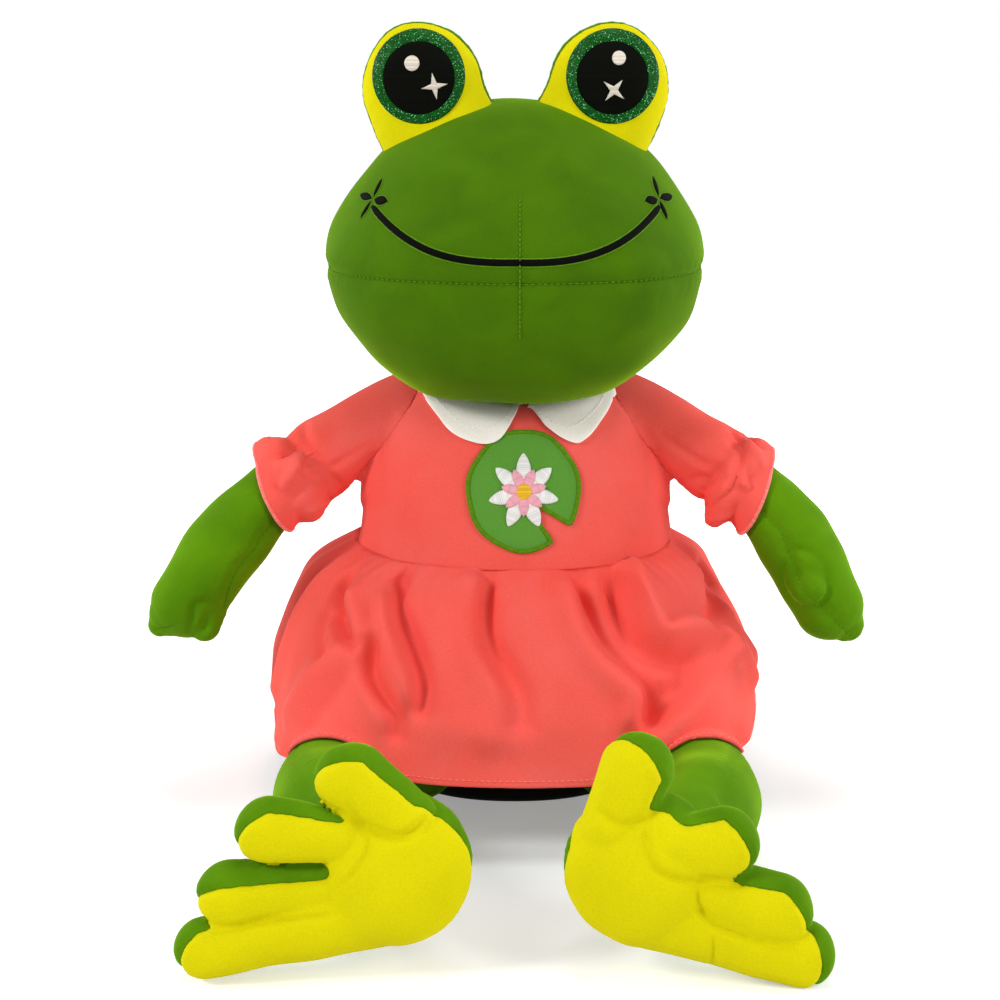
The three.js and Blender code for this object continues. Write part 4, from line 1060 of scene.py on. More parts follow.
def finishes():
    """All finishes by name, made once from the colours in the panel."""
    colours = bpy.context.scene.plush_frog_colours
    made = {found.name.removeprefix("plush "): found for found in bpy.data.materials
            if found.name.startswith("plush ")}
    if made:
        return made
    green, yellow = linear(colours.green), linear(colours.yellow)
    coral, white = linear(colours.coral), linear(colours.white)
    tint = linear((0.72, 0.95, 0.2))

    def sewn(kind, shown, *values, **others):
        return thread("plush " + kind, linear(shown), *values, **others)

    return {
        "green": pile("plush green", green, linear(colours.green_light), 0.5, tint, 0.4),
        "yellow": pile("plush yellow", yellow, linear((0.9, 0.86, 0.03)), 0.15, linear((1, 1, 0.3)), 0.35,
                       strength=0.1),
        "coral": pile("plush coral", coral, linear(colours.coral_light), 0.35, linear((1, 0.66, 0.62)), 0.5,
                      22.0),
        "white": pile("plush white", white, linear((0.99, 0.97, 0.94)), 0.3, (1, 0.97, 0.94, 1), 0.4, 40.0,
                      0.2),
        # Black of the seat panel: painted shade, standing in for the deep shade under the skirt between the
        # feet
        "black": woven("plush black", linear((0.015, 0.013, 0.013)), 900.0, 0.6),
        "glitter": glitter("plush glitter", linear((0.0, 0.21, 0.02)), linear((0.0, 0.42, 0.06))),
        "pale": sewn("pale", (0.86, 0.82, 0.76)),
        "black_thread": sewn("black_thread", (0.03, 0.035, 0.02), 0.7, 0.7, 0.0, 0.03),
        "green_thread": sewn("green_thread", (0.36, 0.54, 0.06), 0.8, sheen=0.05, gloss=0.08),
        "coral_thread": sewn("coral_thread", (0.98, 0.5, 0.46), 0.6),
        "white_thread": sewn("white_thread", (0.95, 0.94, 0.93), 0.45),
        "pink_thread": sewn("pink_thread", (0.95, 0.66, 0.72), 0.45),
        "gold_thread": sewn("gold_thread", (0.96, 0.74, 0.16), 0.4),
        "leaf": woven("plush leaf", linear((0.36, 0.6, 0.2)), 700.0, 0.15),
        # Painted light: the limbs are the body's green plush, coloured lighter for the light that falls on
        # them
        "limbs": pile("plush limbs", linear(colours.limbs), linear(colours.lit_limbs_nap), 0.6, tint, 0.6),
    }


def dress_up(piece, finish, body=None, replaces=()):
    """Gives a piece its finish, body and the nodes it stands for."""
    piece.data.materials.clear()
    piece.data.materials.append(finishes()[finish])
    if body:
        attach(piece, body)
    if replaces:
        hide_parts(*replaces)
    return piece


def covered(pieces, body):
    """Gives open covers their thickness, finish, body and the nodes they stand for."""
    for piece, finish, slot, nodes in pieces:
        wall(piece, sizes().cover / MM)
        dress_up(piece, finish, body, nodes)


def petal(name, find, centre, way, length, start, widths, height, lift=0.0):
    """One satin-stitched petal, from a share of its length out to its tip."""
    steps = np.linspace(start, 1, len(widths))
    spots, outs = laid(find, centre + steps[:, None] * way * length, FROM_FRONT)
    outs = np.repeat(unit(outs.mean(0))[None], len(widths), 0)
    return satin(name, spots + outs * lift, outs, widths, height)


# What a user may change

def length_value(name, description, default, low, high):
    return bpy.props.FloatProperty(
        name=name, description=description, default=default * MM, min=low * MM, max=high * MM,
        unit="LENGTH")


class PlushFrogSizes(bpy.types.PropertyGroup):
    """Sizes of the sewing that a user may change."""
    seam_depth: length_value("Seam depth", "How deep a stuffed cover is drawn in at its seams", 2.4, 0, 6)
    seam_width: length_value("Seam width", "How far from a seam the cover starts to dip", 9, 2, 20)
    pucker: length_value("Pucker", "Height of the small puckers beside a seam", 0.5, 0, 3)
    cover: length_value("Cover", "Thickness of the plush and its backing", 2, 1, 4)
    stitch: length_value("Stitch", "Length of a seam stitch", 2.4, 1, 6)
    stitch_gap: length_value("Stitch gap", "Space between two seam stitches", 1.4, 0.5, 5)
    fold: bpy.props.FloatProperty(
        name="Skirt folds", description="Depth of the skirt's folds against the modelled ones",
        default=1.0, min=0, max=1.5, subtype="FACTOR")


def colour_value(name, description, default):
    return bpy.props.FloatVectorProperty(
        name=name, description=description, default=default, size=3, min=0, max=1, subtype="COLOR")


class PlushFrogColours(bpy.types.PropertyGroup):
    """Colours of the frog's fabrics, as they are seen."""
    green: colour_value("Green plush", "Head and body", (0.24, 0.395, 0.0))
    green_light: colour_value("Green nap", "Green plush brushed towards the light", (0.34, 0.52, 0.02))
    # Same plush as the body, painted lighter for the light that falls on the limbs
    limbs: colour_value("Green of the limbs", "Arms, legs and uppers, whose nap is brushed down",
                        (0.29, 0.47, 0.0))
    lit_limbs_nap: colour_value("Light green of the limbs", "Limbs brushed towards the light", (0.4, 0.6, 0.03))
    yellow: colour_value("Yellow plush", "Soles and fronts of the eyes", (0.83, 0.79, 0.0))
    coral: colour_value("Coral velour", "Dress", (0.95, 0.345, 0.3))
    coral_light: colour_value("Coral nap", "Velour brushed towards the light", (0.95, 0.43, 0.41))
    white: colour_value("White velour", "Collar", (0.96, 0.93, 0.89))


def sizes():
    return bpy.context.scene.plush_frog_sizes


def seam(piece, line, share=1.0, weights=None):
    """A seam of the usual depth, or a share of it."""
    s = sizes()
    press(piece, line, s.seam_depth / MM * share, s.seam_width / MM, s.pucker / MM, 6.5, weights)


def seam_stitches(name, piece, line, finish, body, radius=0.35):
    s = sizes()
    normals = normals_at(piece, line)
    row = stitches(name, line + normals * THREAD_LIFT, normals, s.stitch / MM, s.stitch_gap / MM, radius)
    return dress_up(row, finish, body)


class FrogStep(bpy.types.Operator):
    """One step of the frog."""
    bl_options = {"REGISTER", "UNDO"}


class FROG_OT_stage(FrogStep):
    """Floor, background, soft lamps and the camera"""
    bl_idname = "plush_frog.stage"
    bl_label = "Stage"

    def execute(self, context):
        bpy.ops.object.select_all(action="DESELECT")
        bpy.ops.mesh.primitive_circle_add(vertices=96, radius=4, fill_type="NGON", location=(0, 0, 0))
        floor = context.object
        floor.name = "floor"
        found, tree, shader = blank("floor paper", Roughness=0.9, Specular_IOR_Level=0.1,
                                    Base_Color=(0.9, 0.9, 0.9, 1), Emission_Color=(1, 1, 1, 1))
        place = node(tree, "ShaderNodeTexCoord").outputs["Object"]
        away = node(tree, "ShaderNodeVectorMath", {0: place}, operation="LENGTH").outputs["Value"]
        path = node(tree, "ShaderNodeLightPath").outputs
        level = ranged(tree, away, 0.3, 1.0, 0.3, 0.8)
        connect(tree, shader, Emission_Strength=maths(tree, "MULTIPLY", path["Is Camera Ray"], level))
        floor.data.materials.append(found)
        world = bpy.data.worlds.new("white studio")
        context.scene.world = world
        world.use_nodes = True
        tree = world.node_tree
        back = tree.nodes["Background"]
        back.inputs["Color"].default_value = (1, 1, 1, 1)
        path = node(tree, "ShaderNodeLightPath").outputs
        seen = maths(tree, "MAXIMUM", path["Is Camera Ray"], path["Is Glossy Ray"])
        seen = maths(tree, "MAXIMUM", seen, path["Is Transmission Ray"])
        connect(tree, back, Strength=ranged(tree, seen, 0.16, 1.0))
        for name, place, size, power in (
            ("key", (-1.6, -1.15, 1.3), 0.6, 25),
            ("fill", (1.6, -1.15, 1.0), 1.0, 18),
            ("front", (0.1, -2.1, 0.5), 1.4, 5),
            ("top", (0.2, -0.1, 2.2), 1.2, 16),
            ("rim left", (1.6, 0.6, 0.8), 1.0, 15),
            ("rim right", (-1.6, 0.6, 0.8), 1.0, 12),
        ):
            bpy.ops.object.light_add(type="AREA", location=place)
            lamp = context.object
            lamp.name = "lamp " + name
            lamp.data.shape = "DISK"
            lamp.data.size = size
            lamp.data.energy = power
            aim = Vector(LAMP_AIM) - Vector(place)
            lamp.rotation_euler = aim.to_track_quat("-Z", "Y").to_euler()
        bpy.ops.object.camera_add(location=CAMERA_PLACE, rotation=(CAMERA_TILT, 0, 0))
        camera = context.object
        camera.data.lens = CAMERA_LENS
        camera.data.sensor_width = CAMERA_SENSOR
        camera.data.clip_start = 0.05
        context.scene.camera = camera
        context.scene.view_settings.view_transform = "Standard"
        return {"FINISHED"}


def face_dart(head, top, bottom):
    """Places down the middle of the face and the ways out of it."""
    heights = np.linspace(top, bottom, 60)
    return laid(surface_of(head), [(DART_ACROSS, 0, z) for z in heights], FROM_FRONT)


class FROG_OT_head(FrogStep):
    """Crown and jaw, with the seam round the head and the stitched dart down the face"""
    bl_idname = "plush_frog.head"
    bl_label = "Head covers"

    def execute(self, context):
        head = stuffed("head", HEAD, 0, *HEAD_GRID)
        points = coords(head)
        away = np.hypot(points[:, 0] - NECK[0], points[:, 1] - NECK[1])
        hollow = fade(-away, -HOLLOW_REACH - 6, -HOLLOW_REACH + 12)
        points[:, 2] += np.clip(HOLLOW_TOP - points[:, 2], 0, None) * hollow
        set_coords(head, points)
        lumps(head, *LUMPS["head"], 2)
        line, index = cut_line(head, lambda p: p[:, 2] - HEAD_SEAM)
        dart, _ = face_dart(head, *DART)
        seam(head, line)
        weights = np.sin(np.linspace(0.15, math.pi - 0.1, len(dart))) ** 0.6
        press(head, dart, 2.4, 9, 0.4, 6, weights)
        press(head, dart, 1.4, 3, 0, 6, weights)
        after = coords(head)[index]
        order = np.argsort(np.arctan2(after[:, 1] - HEAD["base"][1], after[:, 0]))
        ring = resampled(np.vstack([after[order], after[order][:1]]), 1.2)
        dart, out = face_dart(head, DART[0] - 4, DART[1] + 4)
        seam_stitches("head_seam_stitches", head, ring, "green_thread", "head", 0.4)
        row = stitches("dart_stitches", dart + out * THREAD_LIFT, out, *DART_STITCH)
        dress_up(row, "green_thread", "head")
        crown = side_of(head, "crown", 1)
        jaw = side_of(head, "jaw", -1)
        drop(head)
        covered([
            (crown, "green", "green_plush", ("head_crown_cover", "head_fill")),
            (jaw, "green", "green_plush", ("head_jaw_cover",)),
        ], "head")
        return {"FINISHED"}


def eye_place(side, local):
    """A place on an eye from its own across, deep and up."""
    local = np.asarray(local, float)
    turn = side * EYE_TILT
    x = local[..., 0] * math.cos(turn) + local[..., 2] * math.sin(turn)
    z = -local[..., 0] * math.sin(turn) + local[..., 2] * math.cos(turn)
    return np.stack([x + side * EYE_ACROSS, local[..., 1] + EYE_DEEP, z + EYE_UP], -1)


def eye_mound(name, side):
    """A padded disc whose sides run down and spread where it is sewn to the head."""
    wide, deep, high = EYE_SIZE
    sides = 96
    angle = turns(sides)
    c, s = np.cos(angle), np.sin(angle)
    rings = []
    for t in np.linspace(0, math.pi / 2, 34)[:-1]:
        flat = wide * math.cos(t) * c, deep * math.cos(t) * s, np.full(sides, high * math.sin(t))
        rings.append(np.stack(flat, 1))
    rings = rings[::-1]
    for share in np.linspace(0, 1, 24)[1:]:
        spread = np.where(side * c < 0, 0.34, -0.2) * share**1.7
        flat = wide * c * (1 + spread), deep * s * (1 + 0.3 * share**1.7), np.full(sides, -high * share)
        rings.append(np.stack(flat, 1))
    for share in (0.75, 0.4):
        rings.append(rings[-1] * [share, share, 1])
    rings = eye_place(side, np.array(rings))
    top, bottom = eye_place(side, (0, 0, high)), eye_place(side, (0, 0, -high))
    return face_outward(skin(name, rings, top, bottom))


def eye_circle(side, up, radius, across=0, count=96):
    """A circle on the front of an eye."""
    turn = turns(count)
    flat = across + radius * np.cos(turn), np.zeros(count), up + radius * np.sin(turn)
    return eye_place(side, np.stack(flat, 1))


def eye_star(side, across, up, turned, count=96):
    """A four-pointed star with straight edges on the front of an eye."""
    turn = turns(count)
    off = np.abs((turn + math.pi / 4) % (math.pi / 2) - math.pi / 4)
    arm = STAR_TIP * STAR_WAIST / (STAR_WAIST * np.cos(off) + (STAR_TIP - STAR_WAIST) * np.sin(off))
    x, z = arm * np.cos(turn), arm * np.sin(turn)
    spin = math.radians(turned)
    flat = (across + x * math.cos(spin) - z * math.sin(spin), np.zeros(count),
            up + x * math.sin(spin) + z * math.cos(spin))
    return eye_place(side, np.stack(flat, 1))


def glitter_ring(name, find, side):
    """The ring round a pupil, laid on the front of an eye."""
    inner = eye_circle(side, IRIS_LIFT - PUPIL_DROP, PUPIL_RADIUS - 0.8)
    outer = eye_circle(side, IRIS_LIFT, IRIS_RADIUS)
    shares = np.linspace(0, 1, 13)
    flat = np.concatenate([inner + (outer - inner) * share for share in shares])
    places, normals = laid(find, flat, FROM_FRONT)
    rise = np.repeat((1 - (2 * shares - 1) ** 8) ** 0.5, len(outer))
    shape = len(shares), len(outer), 3
    top = (places + normals * (0.1 + 1.2 * rise)[:, None]).reshape(shape)
    low = (places + normals * 0.05).reshape(shape)[::-1]
    return smooth_shaded(face_outward(skin(name, np.concatenate([top, low]), hoop=True)))


class FROG_OT_eyes(FrogStep):
    """Raised eyes with a glitter ring, a black pupil and two stitched highlights each"""
    bl_idname = "plush_frog.eyes"
    bl_label = "Eyes"

    def execute(self, context):
        for name, side in SIDES:
            mound = eye_mound("eye", side)
            lumps(mound, *LUMPS["eye"], side)
            line = cut_along(mound, lambda p: p[:, 1] - EYE_DEEP + EYE_SEAM)
            seam(mound, line, 0.6)
            front = side_of(mound, f"eye_yellow_{name}", -1)
            back = side_of(mound, f"eye_green_{name}", 1)
            find = surface_of(front)
            drop(mound)
            covered([
                (front, "yellow", "yellow_plush", (f"eye_front_{name}", f"eye_fill_{name}")),
                (back, "green", "green_plush", (f"eye_back_{name}",)),
            ], "head")
            ring = glitter_ring(f"glitter_ring_{name}", find, side)
            dress_up(ring, "glitter", "head", (f"iris_ring_{name}",))
            up = IRIS_LIFT - PUPIL_DROP
            pupil = patch(f"pupil_patch_{name}", find, eye_circle(side, up, PUPIL_RADIUS), FROM_FRONT,
                          0.1, 1.5, 18, eye_place(side, (0, 0, up)))
            dress_up(pupil, "black_thread", "head", (f"pupil_{name}",))
            on_pupil = surface_of(pupil)
            across, up, radius = GLINTS[name]["dot"]
            glints = (("dot", eye_circle(side, up, radius, across, 48)),
                      ("star", eye_star(side, *GLINTS[name]["star"])))
            for kind, outline in glints:
                glint = patch(f"highlight_{kind}_{name}", on_pupil, outline, FROM_FRONT, 0, 0.9, 8)
                dress_up(glint, "pale", "head", (f"glint_{kind}_{name}",))
        return {"FINISHED"}


class FROG_OT_mouth(FrogStep):
    """The smile in one satin-stitched line, with stitched petals at its corners"""
    bl_idname = "plush_frog.mouth"
    bl_label = "Mouth"

    def execute(self, context):
        find = surface_of(bpy.data.objects["crown"])
        m = MOUTH
        bend = math.pi / 2 * 0.9
        share = np.sin(np.linspace(-math.pi / 2, math.pi / 2, 141) * 0.9) / math.sin(bend)
        height = m["low"] + m["rise"] * np.abs(share) ** m["power"]
        flat = run(np.stack([share * m["half_width"], np.zeros(len(share)), height], 1), 160)
        places, normals = laid(find, flat, FROM_FRONT)
        smooth = normals.copy()
        for _ in range(6):
            smooth[1:-1] = unit(smooth[:-2] + smooth[1:-1] + smooth[2:])
        row = np.arange(len(places))
        ends = fade(np.minimum(row, row[::-1]), -2, 3)
        widths = m["line"] / 2 * (0.4 + 0.6 * ends)
        line = satin("smile", places, smooth, widths, 0.75)
        dress_up(line, "black_thread", "head", ("mouth_line",))
        # Lighter green rim round the smile: painted sheen of the pile pressed flat beside the stitches
        dress_up(satin("smile_edge", places, smooth, widths + 0.75, 0.35), "green_thread", "head")
        for name, side in SIDES:
            centre = np.array([side * m["half_width"], 0, m["low"] + m["rise"] + m["line"]])
            petals, edges = [], []
            for degrees, length, width in CORNER_PETALS[name]:
                turn = math.radians(degrees)
                way = np.array([side * math.cos(turn), 0, math.sin(turn)])
                spread = 0.25 + width * np.sin(np.linspace(0, math.pi, 20)) ** 0.8
                petals.append(petal("petal", find, centre, way, length, 0.1, spread, 0.8))
                # Lighter rims round the petals: painted sheen of the pressed pile
                edges.append(petal("edge", find, centre, way, length, 0.1, spread + 0.7, 0.35))
            dress_up(gathered(petals, f"smile_petals_{name}"), "black_thread", "head",
                     (f"mouth_corner_{name}",))
            dress_up(gathered(edges, f"petal_edges_{name}"), "green_thread", "head")
        return {"FINISHED"}


class FROG_OT_body(FrogStep):
    """Body covers under the dress, the seat panel in black as painted shade under the skirt, and the neck"""
    bl_idname = "plush_frog.body"
    bl_label = "Body"

    def execute(self, context):
        body = stuffed("body", TORSO, 0, *BODY_GRID)
        points = coords(body)
        points[:, 2] = np.clip(points[:, 2], FLOOR_GAP, None)
        set_coords(body, points)
        round_seam = cut_along(body, lambda p: p[:, 2] - SEAT_PANEL_TOP)
        seam(body, round_seam, 0.6)
        seat = side_of(body, "seat_cloth", -1)
        upper = side_of(body, "upper", 1)
        drop(body)
        side_seam = cut_along(upper, lambda p: p[:, 1])
        press(upper, side_seam, 1.4, 8)
        front, back = side_of(upper, "body_front", -1), side_of(upper, "body_back", 1)
        drop(upper)
        covered([
            # The seat panel is the body's real bottom, but its black is painted shade under the skirt
            (seat, "black", "black_cloth", ("seat_panel",)),
            (front, "green", "green_plush", ("torso_front_cover", "torso_fill")),
            (back, "green", "green_plush", ("torso_back_cover",)),
        ], "torso")
        neck = ball("neck_cover", NECK, NECK_RADIUS + np.array(NECK_COVER))
        smooth_shaded(face_outward(neck))
        dress_up(neck, "green", "neck", ("neck_fill",))
        return {"FINISHED"}


def arm_points(name, side):
    (x, y, z), (out, forward, down) = SHOULDER, ARM_SIZE
    return [(x * side + side * o * out, y - f * forward, z - d * down) for o, f, d in ARM_SHARES[name]]


def bend_at_shoulder(name, side, *pieces):
    """Arm and sleeve bend together, starting where the sleeve is sewn to the bodice."""
    start = np.array(SHOULDER_BEND) * [side, 1, 1]
    end = start + np.array(BEND_WAY) * [side, 1, 1] * BEND_LENGTH
    for piece in pieces:
        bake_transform(piece, "torso", f"arm_{name}", start=start * MM, end=end * MM)


class FROG_OT_arms(FrogStep):
    """Arms with mitten hands, their seams and the creases at the thumbs"""
    bl_idname = "plush_frog.arms"
    bl_label = "Arms"

    def execute(self, context):
        for name, side in SIDES:
            points = arm_points(name, side)
            wrist, palm = np.array(points[-1]), points[-2]
            forms = [tube("arm", points, ARM_RADII, 40, 60)]
            for out, forward, up, radius in HAND_LOBES[name]:
                tip = wrist + [side * out, -forward, up]
                radii = [ARM_LOBE, (ARM_LOBE + radius) / 2, radius]
                forms.append(tube("lobe", [palm, (palm + tip) / 2, tip], radii, 32, 20))
            arm = joined(forms, f"arm_plush_{name}", *CELLS["arm"])
            lumps(arm, *LUMPS["arm"], 5 + side)
            find = surface_of(arm)
            seam(arm, traced(find, ARM_SEAMS[name], 120), 0.75)
            for pixels in HAND_CREASES[name]:
                line = traced(find, pixels, 30)
                press(arm, line, 2.8, 5.5, 0.4, 5, np.sin(np.linspace(0.5, math.pi - 0.2, len(line))))
            find = surface_of(arm)
            line = resampled(traced(find, ARM_SEAMS[name], 200), 1.0)
            seam_stitches(f"arm_stitches_{name}", arm, line, "green_thread", f"arm_{name}")
            smooth_shaded(arm)
            dress_up(arm, "limbs", None, (f"arm_cover_{name}", f"arm_fill_{name}"))
            bend_at_shoulder(name, side, arm)
        return {"FINISHED"}


def leg_points(side):
    out, reach, rise = LEG_SIZE
    return [(side * (HIP[0] + o * out), HIP[1] - r * reach, HIP[2] + u * rise) for o, r, u in LEG_SHARES]


class FROG_OT_legs(FrogStep):
    """Legs under the skirt, sewn to the feet"""
    bl_idname = "plush_frog.legs"
    bl_label = "Legs"

    def execute(self, context):
        for name, side in SIDES:
            leg = tube(f"leg_plush_{name}", leg_points(side), LEG_RADII, 72, 110, 14)
            face_outward(leg)
            lumps(leg, *LUMPS["leg"], 8 + side)
            find = surface_of(leg)
            line = traced(find, LEG_SEAMS[name], 60)
            seam(leg, line, 0.8)
            smooth_shaded(leg)
            dress_up(leg, "limbs", None, (f"leg_cover_{name}", f"leg_fill_{name}"))
            ankle = np.array(leg_points(side)[-1])
            start, end = (ankle + [0, behind, 0] for behind in ANKLE_BEND)
            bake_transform(leg, f"leg_{name}", f"foot_{name}", start=start * MM, end=end * MM)
        return {"FINISHED"}


def foot_axes(side):
    along = np.array([0, math.sin(FOOT_LEAN), math.cos(FOOT_LEAN)])
    facing = np.array([0, -math.cos(FOOT_LEAN), math.sin(FOOT_LEAN)])
    return np.array([side, 0, 0]), along, facing


def sole_side(p, palm, tilt, toes):
    """Above zero on the sole's side of a foot, from the pad and toes that a point is nearest to."""
    values, weights = [(p - palm) @ tilt], [np.linalg.norm(p - palm, axis=1) - PALM_REACH]
    for a, b, root_radius, radius, tilt in toes:
        share = np.clip((p - a) @ (b - a) / ((b - a) @ (b - a)), 0, 1)[:, None]
        nearest = a + share * (b - a)
        values.append((p - nearest) @ tilt)
        away = np.linalg.norm(p - nearest, axis=1)
        weights.append(away - root_radius - (radius - root_radius) * share[:, 0])
    share = np.exp(-np.array(weights) / SOLE_BLEND)
    return (np.array(values) * share).sum(0) / share.sum(0) + 0.2 * mottle(p, 12, 1)


class FROG_OT_feet(FrogStep):
    """Feet with a yellow sole and a green upper that wraps over four blunt toes"""
    bl_idname = "plush_frog.feet"
    bl_label = "Feet"

    def execute(self, context):
        for name, side in SIDES:
            out, along, facing = foot_axes(side)
            palm = np.array([side * PALM[0], PALM[1], PALM[2]])
            axes = np.array([[1, 0, 0], -facing, along])
            forms = [ball("pad", palm, PALM_SIZE, axes, 64)]
            toes = []
            for root, tip, ahead, root_radius, radius, wrap, wrapped in TOES[name]:
                a = palm + out * root[0] + along * root[1] + facing * ahead
                b = palm + out * tip[0] + along * tip[1] + facing * ahead
                radii = [root_radius, (root_radius + radius) / 2, radius]
                toe = tube("toe", [a, (a + b) / 2, b], radii, 44, 24, 12)
                points = coords(toe)
                deep = (points - a) @ facing
                set_coords(toe, points - facing * (deep * (1 - TOE_DEPTH_SHARE))[:, None])
                forms.append(toe)
                wrap = unit(out * wrap[0] + along * wrap[1])
                wrapped = math.radians(wrapped)
                tilt = facing * math.cos(wrapped) - wrap * math.sin(wrapped)
                toes.append((a, b, root_radius, radius, tilt))
            foot = joined(forms, "foot", *CELLS["foot"])
            points = coords(foot)
            height = points[:, 2]
            pressed = FLOOR_REACH - (FLOOR_REACH - height) * FLOOR_SHARE
            height = np.where(height < FLOOR_REACH, pressed, height)
            points[:, 2] = np.clip(height, FLOOR_GAP, None)
            set_coords(foot, points)
            lumps(foot, *LUMPS["foot"], 3 + side)
            find = surface_of(foot)
            for pixels, depth, width in TOE_CREASES[name]:
                line = traced(find, pixels, 60)
                weights = np.sin(np.linspace(0.3, math.pi - 0.3, len(line))) ** 0.6
                press(foot, line, depth, width, 0.2, 6, weights)
            tilt = facing * math.cos(PALM_TURN) - along * math.sin(PALM_TURN)
            line = cut_along(foot, lambda p: sole_side(p, palm, tilt, toes))
            press(foot, line, 1.5, 5.5, 0.35, 6)
            front, top = side_of(foot, f"sole_plush_{name}", 1), side_of(foot, f"upper_plush_{name}", -1)
            drop(foot)
            covered([
                (front, "yellow", "yellow_plush", (f"foot_sole_{name}", f"foot_fill_{name}")),
                (top, "limbs", "green_plush", (f"foot_top_{name}",)),
            ], f"foot_{name}")
        return {"FINISHED"}


def sleeve_guide(name, side):
    """The line that a sleeve follows, from the shoulder past the cuff, and its directions."""
    line = run(arm_points(name, side), 200)
    along, across, out = frames_along(line)
    return {"line": line, "place": travel(line), "along": along, "across": across, "out": out}


def sleeve_form(guide):
    """The plain form of a sleeve, from inside the shoulder to a little past the cuff."""
    line = guide["line"]
    inner = line[0] - unit(line[12] - line[0]) * SLEEVE_START
    reach = int(np.searchsorted(guide["place"], SLEEVE_LENGTH + 16))
    points = np.vstack([inner, line[0], line[reach // 3], line[2 * reach // 3], line[reach]])
    return tube("sleeve", points, SLEEVE_RADII, 40, 40)


def gathered_sleeve(points, name, side, guide):
    """How far points on the top of the dress move out from a sleeve's line: cuff, puckers and slack."""
    away, near = distances(points, guide["line"])
    far = guide["place"][near]
    on = (points[:, 0] * side > SLEEVE_FROM) & (away < SLEEVE_REACH)
    offset = points - guide["line"][near]
    turn = np.arctan2((offset * guide["out"][near]).sum(1), (offset * guide["across"][near]).sum(1))
    puff, upward, _ = CUFFS[name]
    up = unit(offset)[:, 2]
    shares = np.array(CUFF_SHARES, float)
    share = hermite(shares[:, 0], shares[:, 1:], np.clip(far - GATHER, -29, 31))[:, 0]
    cuff = share * (puff + upward * up + 0.9 * np.sin(4 * turn + side))
    puckers = 0.8 * np.sin(19 * turn + 1.3 * np.sin(3 * turn)) * bell(far, GATHER, 5)
    soft = 1.2 * np.sin(2.0 * turn + far / 13) * fade(far, 15, 50) * fade(-far, -GATHER, -GATHER + 12)
    under = -4.5 * np.clip(-up, 0, 1) * fade(far, 4, 20) * fade(-far, -GATHER, -GATHER + 25)
    return unit(offset) * np.where(on, cuff + puckers + soft + under, 0)[:, None]


def off_arm(points, side, guide):
    """How far points on a sleeve have to move out to leave room for the arm."""
    away, near = distances(points, guide["line"])
    inside = even_values(ARM_RADII, guide["place"] / guide["place"][-1])[near]
    on = (points[:, 0] * side > SLEEVE_FREE) & (away < SLEEVE_REACH)
    short = np.where(on, inside + SLEEVE_ROOM - away, 0)
    return unit(points - guide["line"][near]) * np.clip(short, 0, None)[:, None]


def open_cuff(top, name, guide):
    """Cuts a sleeve off at its cuff and gives back the edge and its middle."""
    row = int(np.searchsorted(guide["place"], SLEEVE_LENGTH))
    middle, way = guide["line"][row], guide["along"][row]
    upright = unit(np.array([0, 0, 1]) - way * way[2])
    level = way + CUFFS[name][2] * upright + np.array([0, 0.5, 0])
    edge = cut_along(top, lambda p: (p - middle) @ level)
    edge = edge[np.linalg.norm(edge - middle, axis=1) < 50]
    order = np.argsort(np.arctan2((edge - middle) @ upright, (edge - middle) @ np.cross(way, upright)))
    drop_where(top, lambda p: (p - middle) @ level > 0)
    return edge[order], middle


def raglan(points):
    """Above zero on a sleeve's side of the seam from the neck to the armpit."""
    across, up = np.abs(points[:, 0]) - RAGLAN_PLACE[0], points[:, 2] - RAGLAN_PLACE[1]
    return RAGLAN_WAY[0] * across + RAGLAN_WAY[1] * up


def from_neck(points):
    return np.hypot(points[:, 0] - NECK[0], points[:, 1] - NECK[1]) - NECKLINE


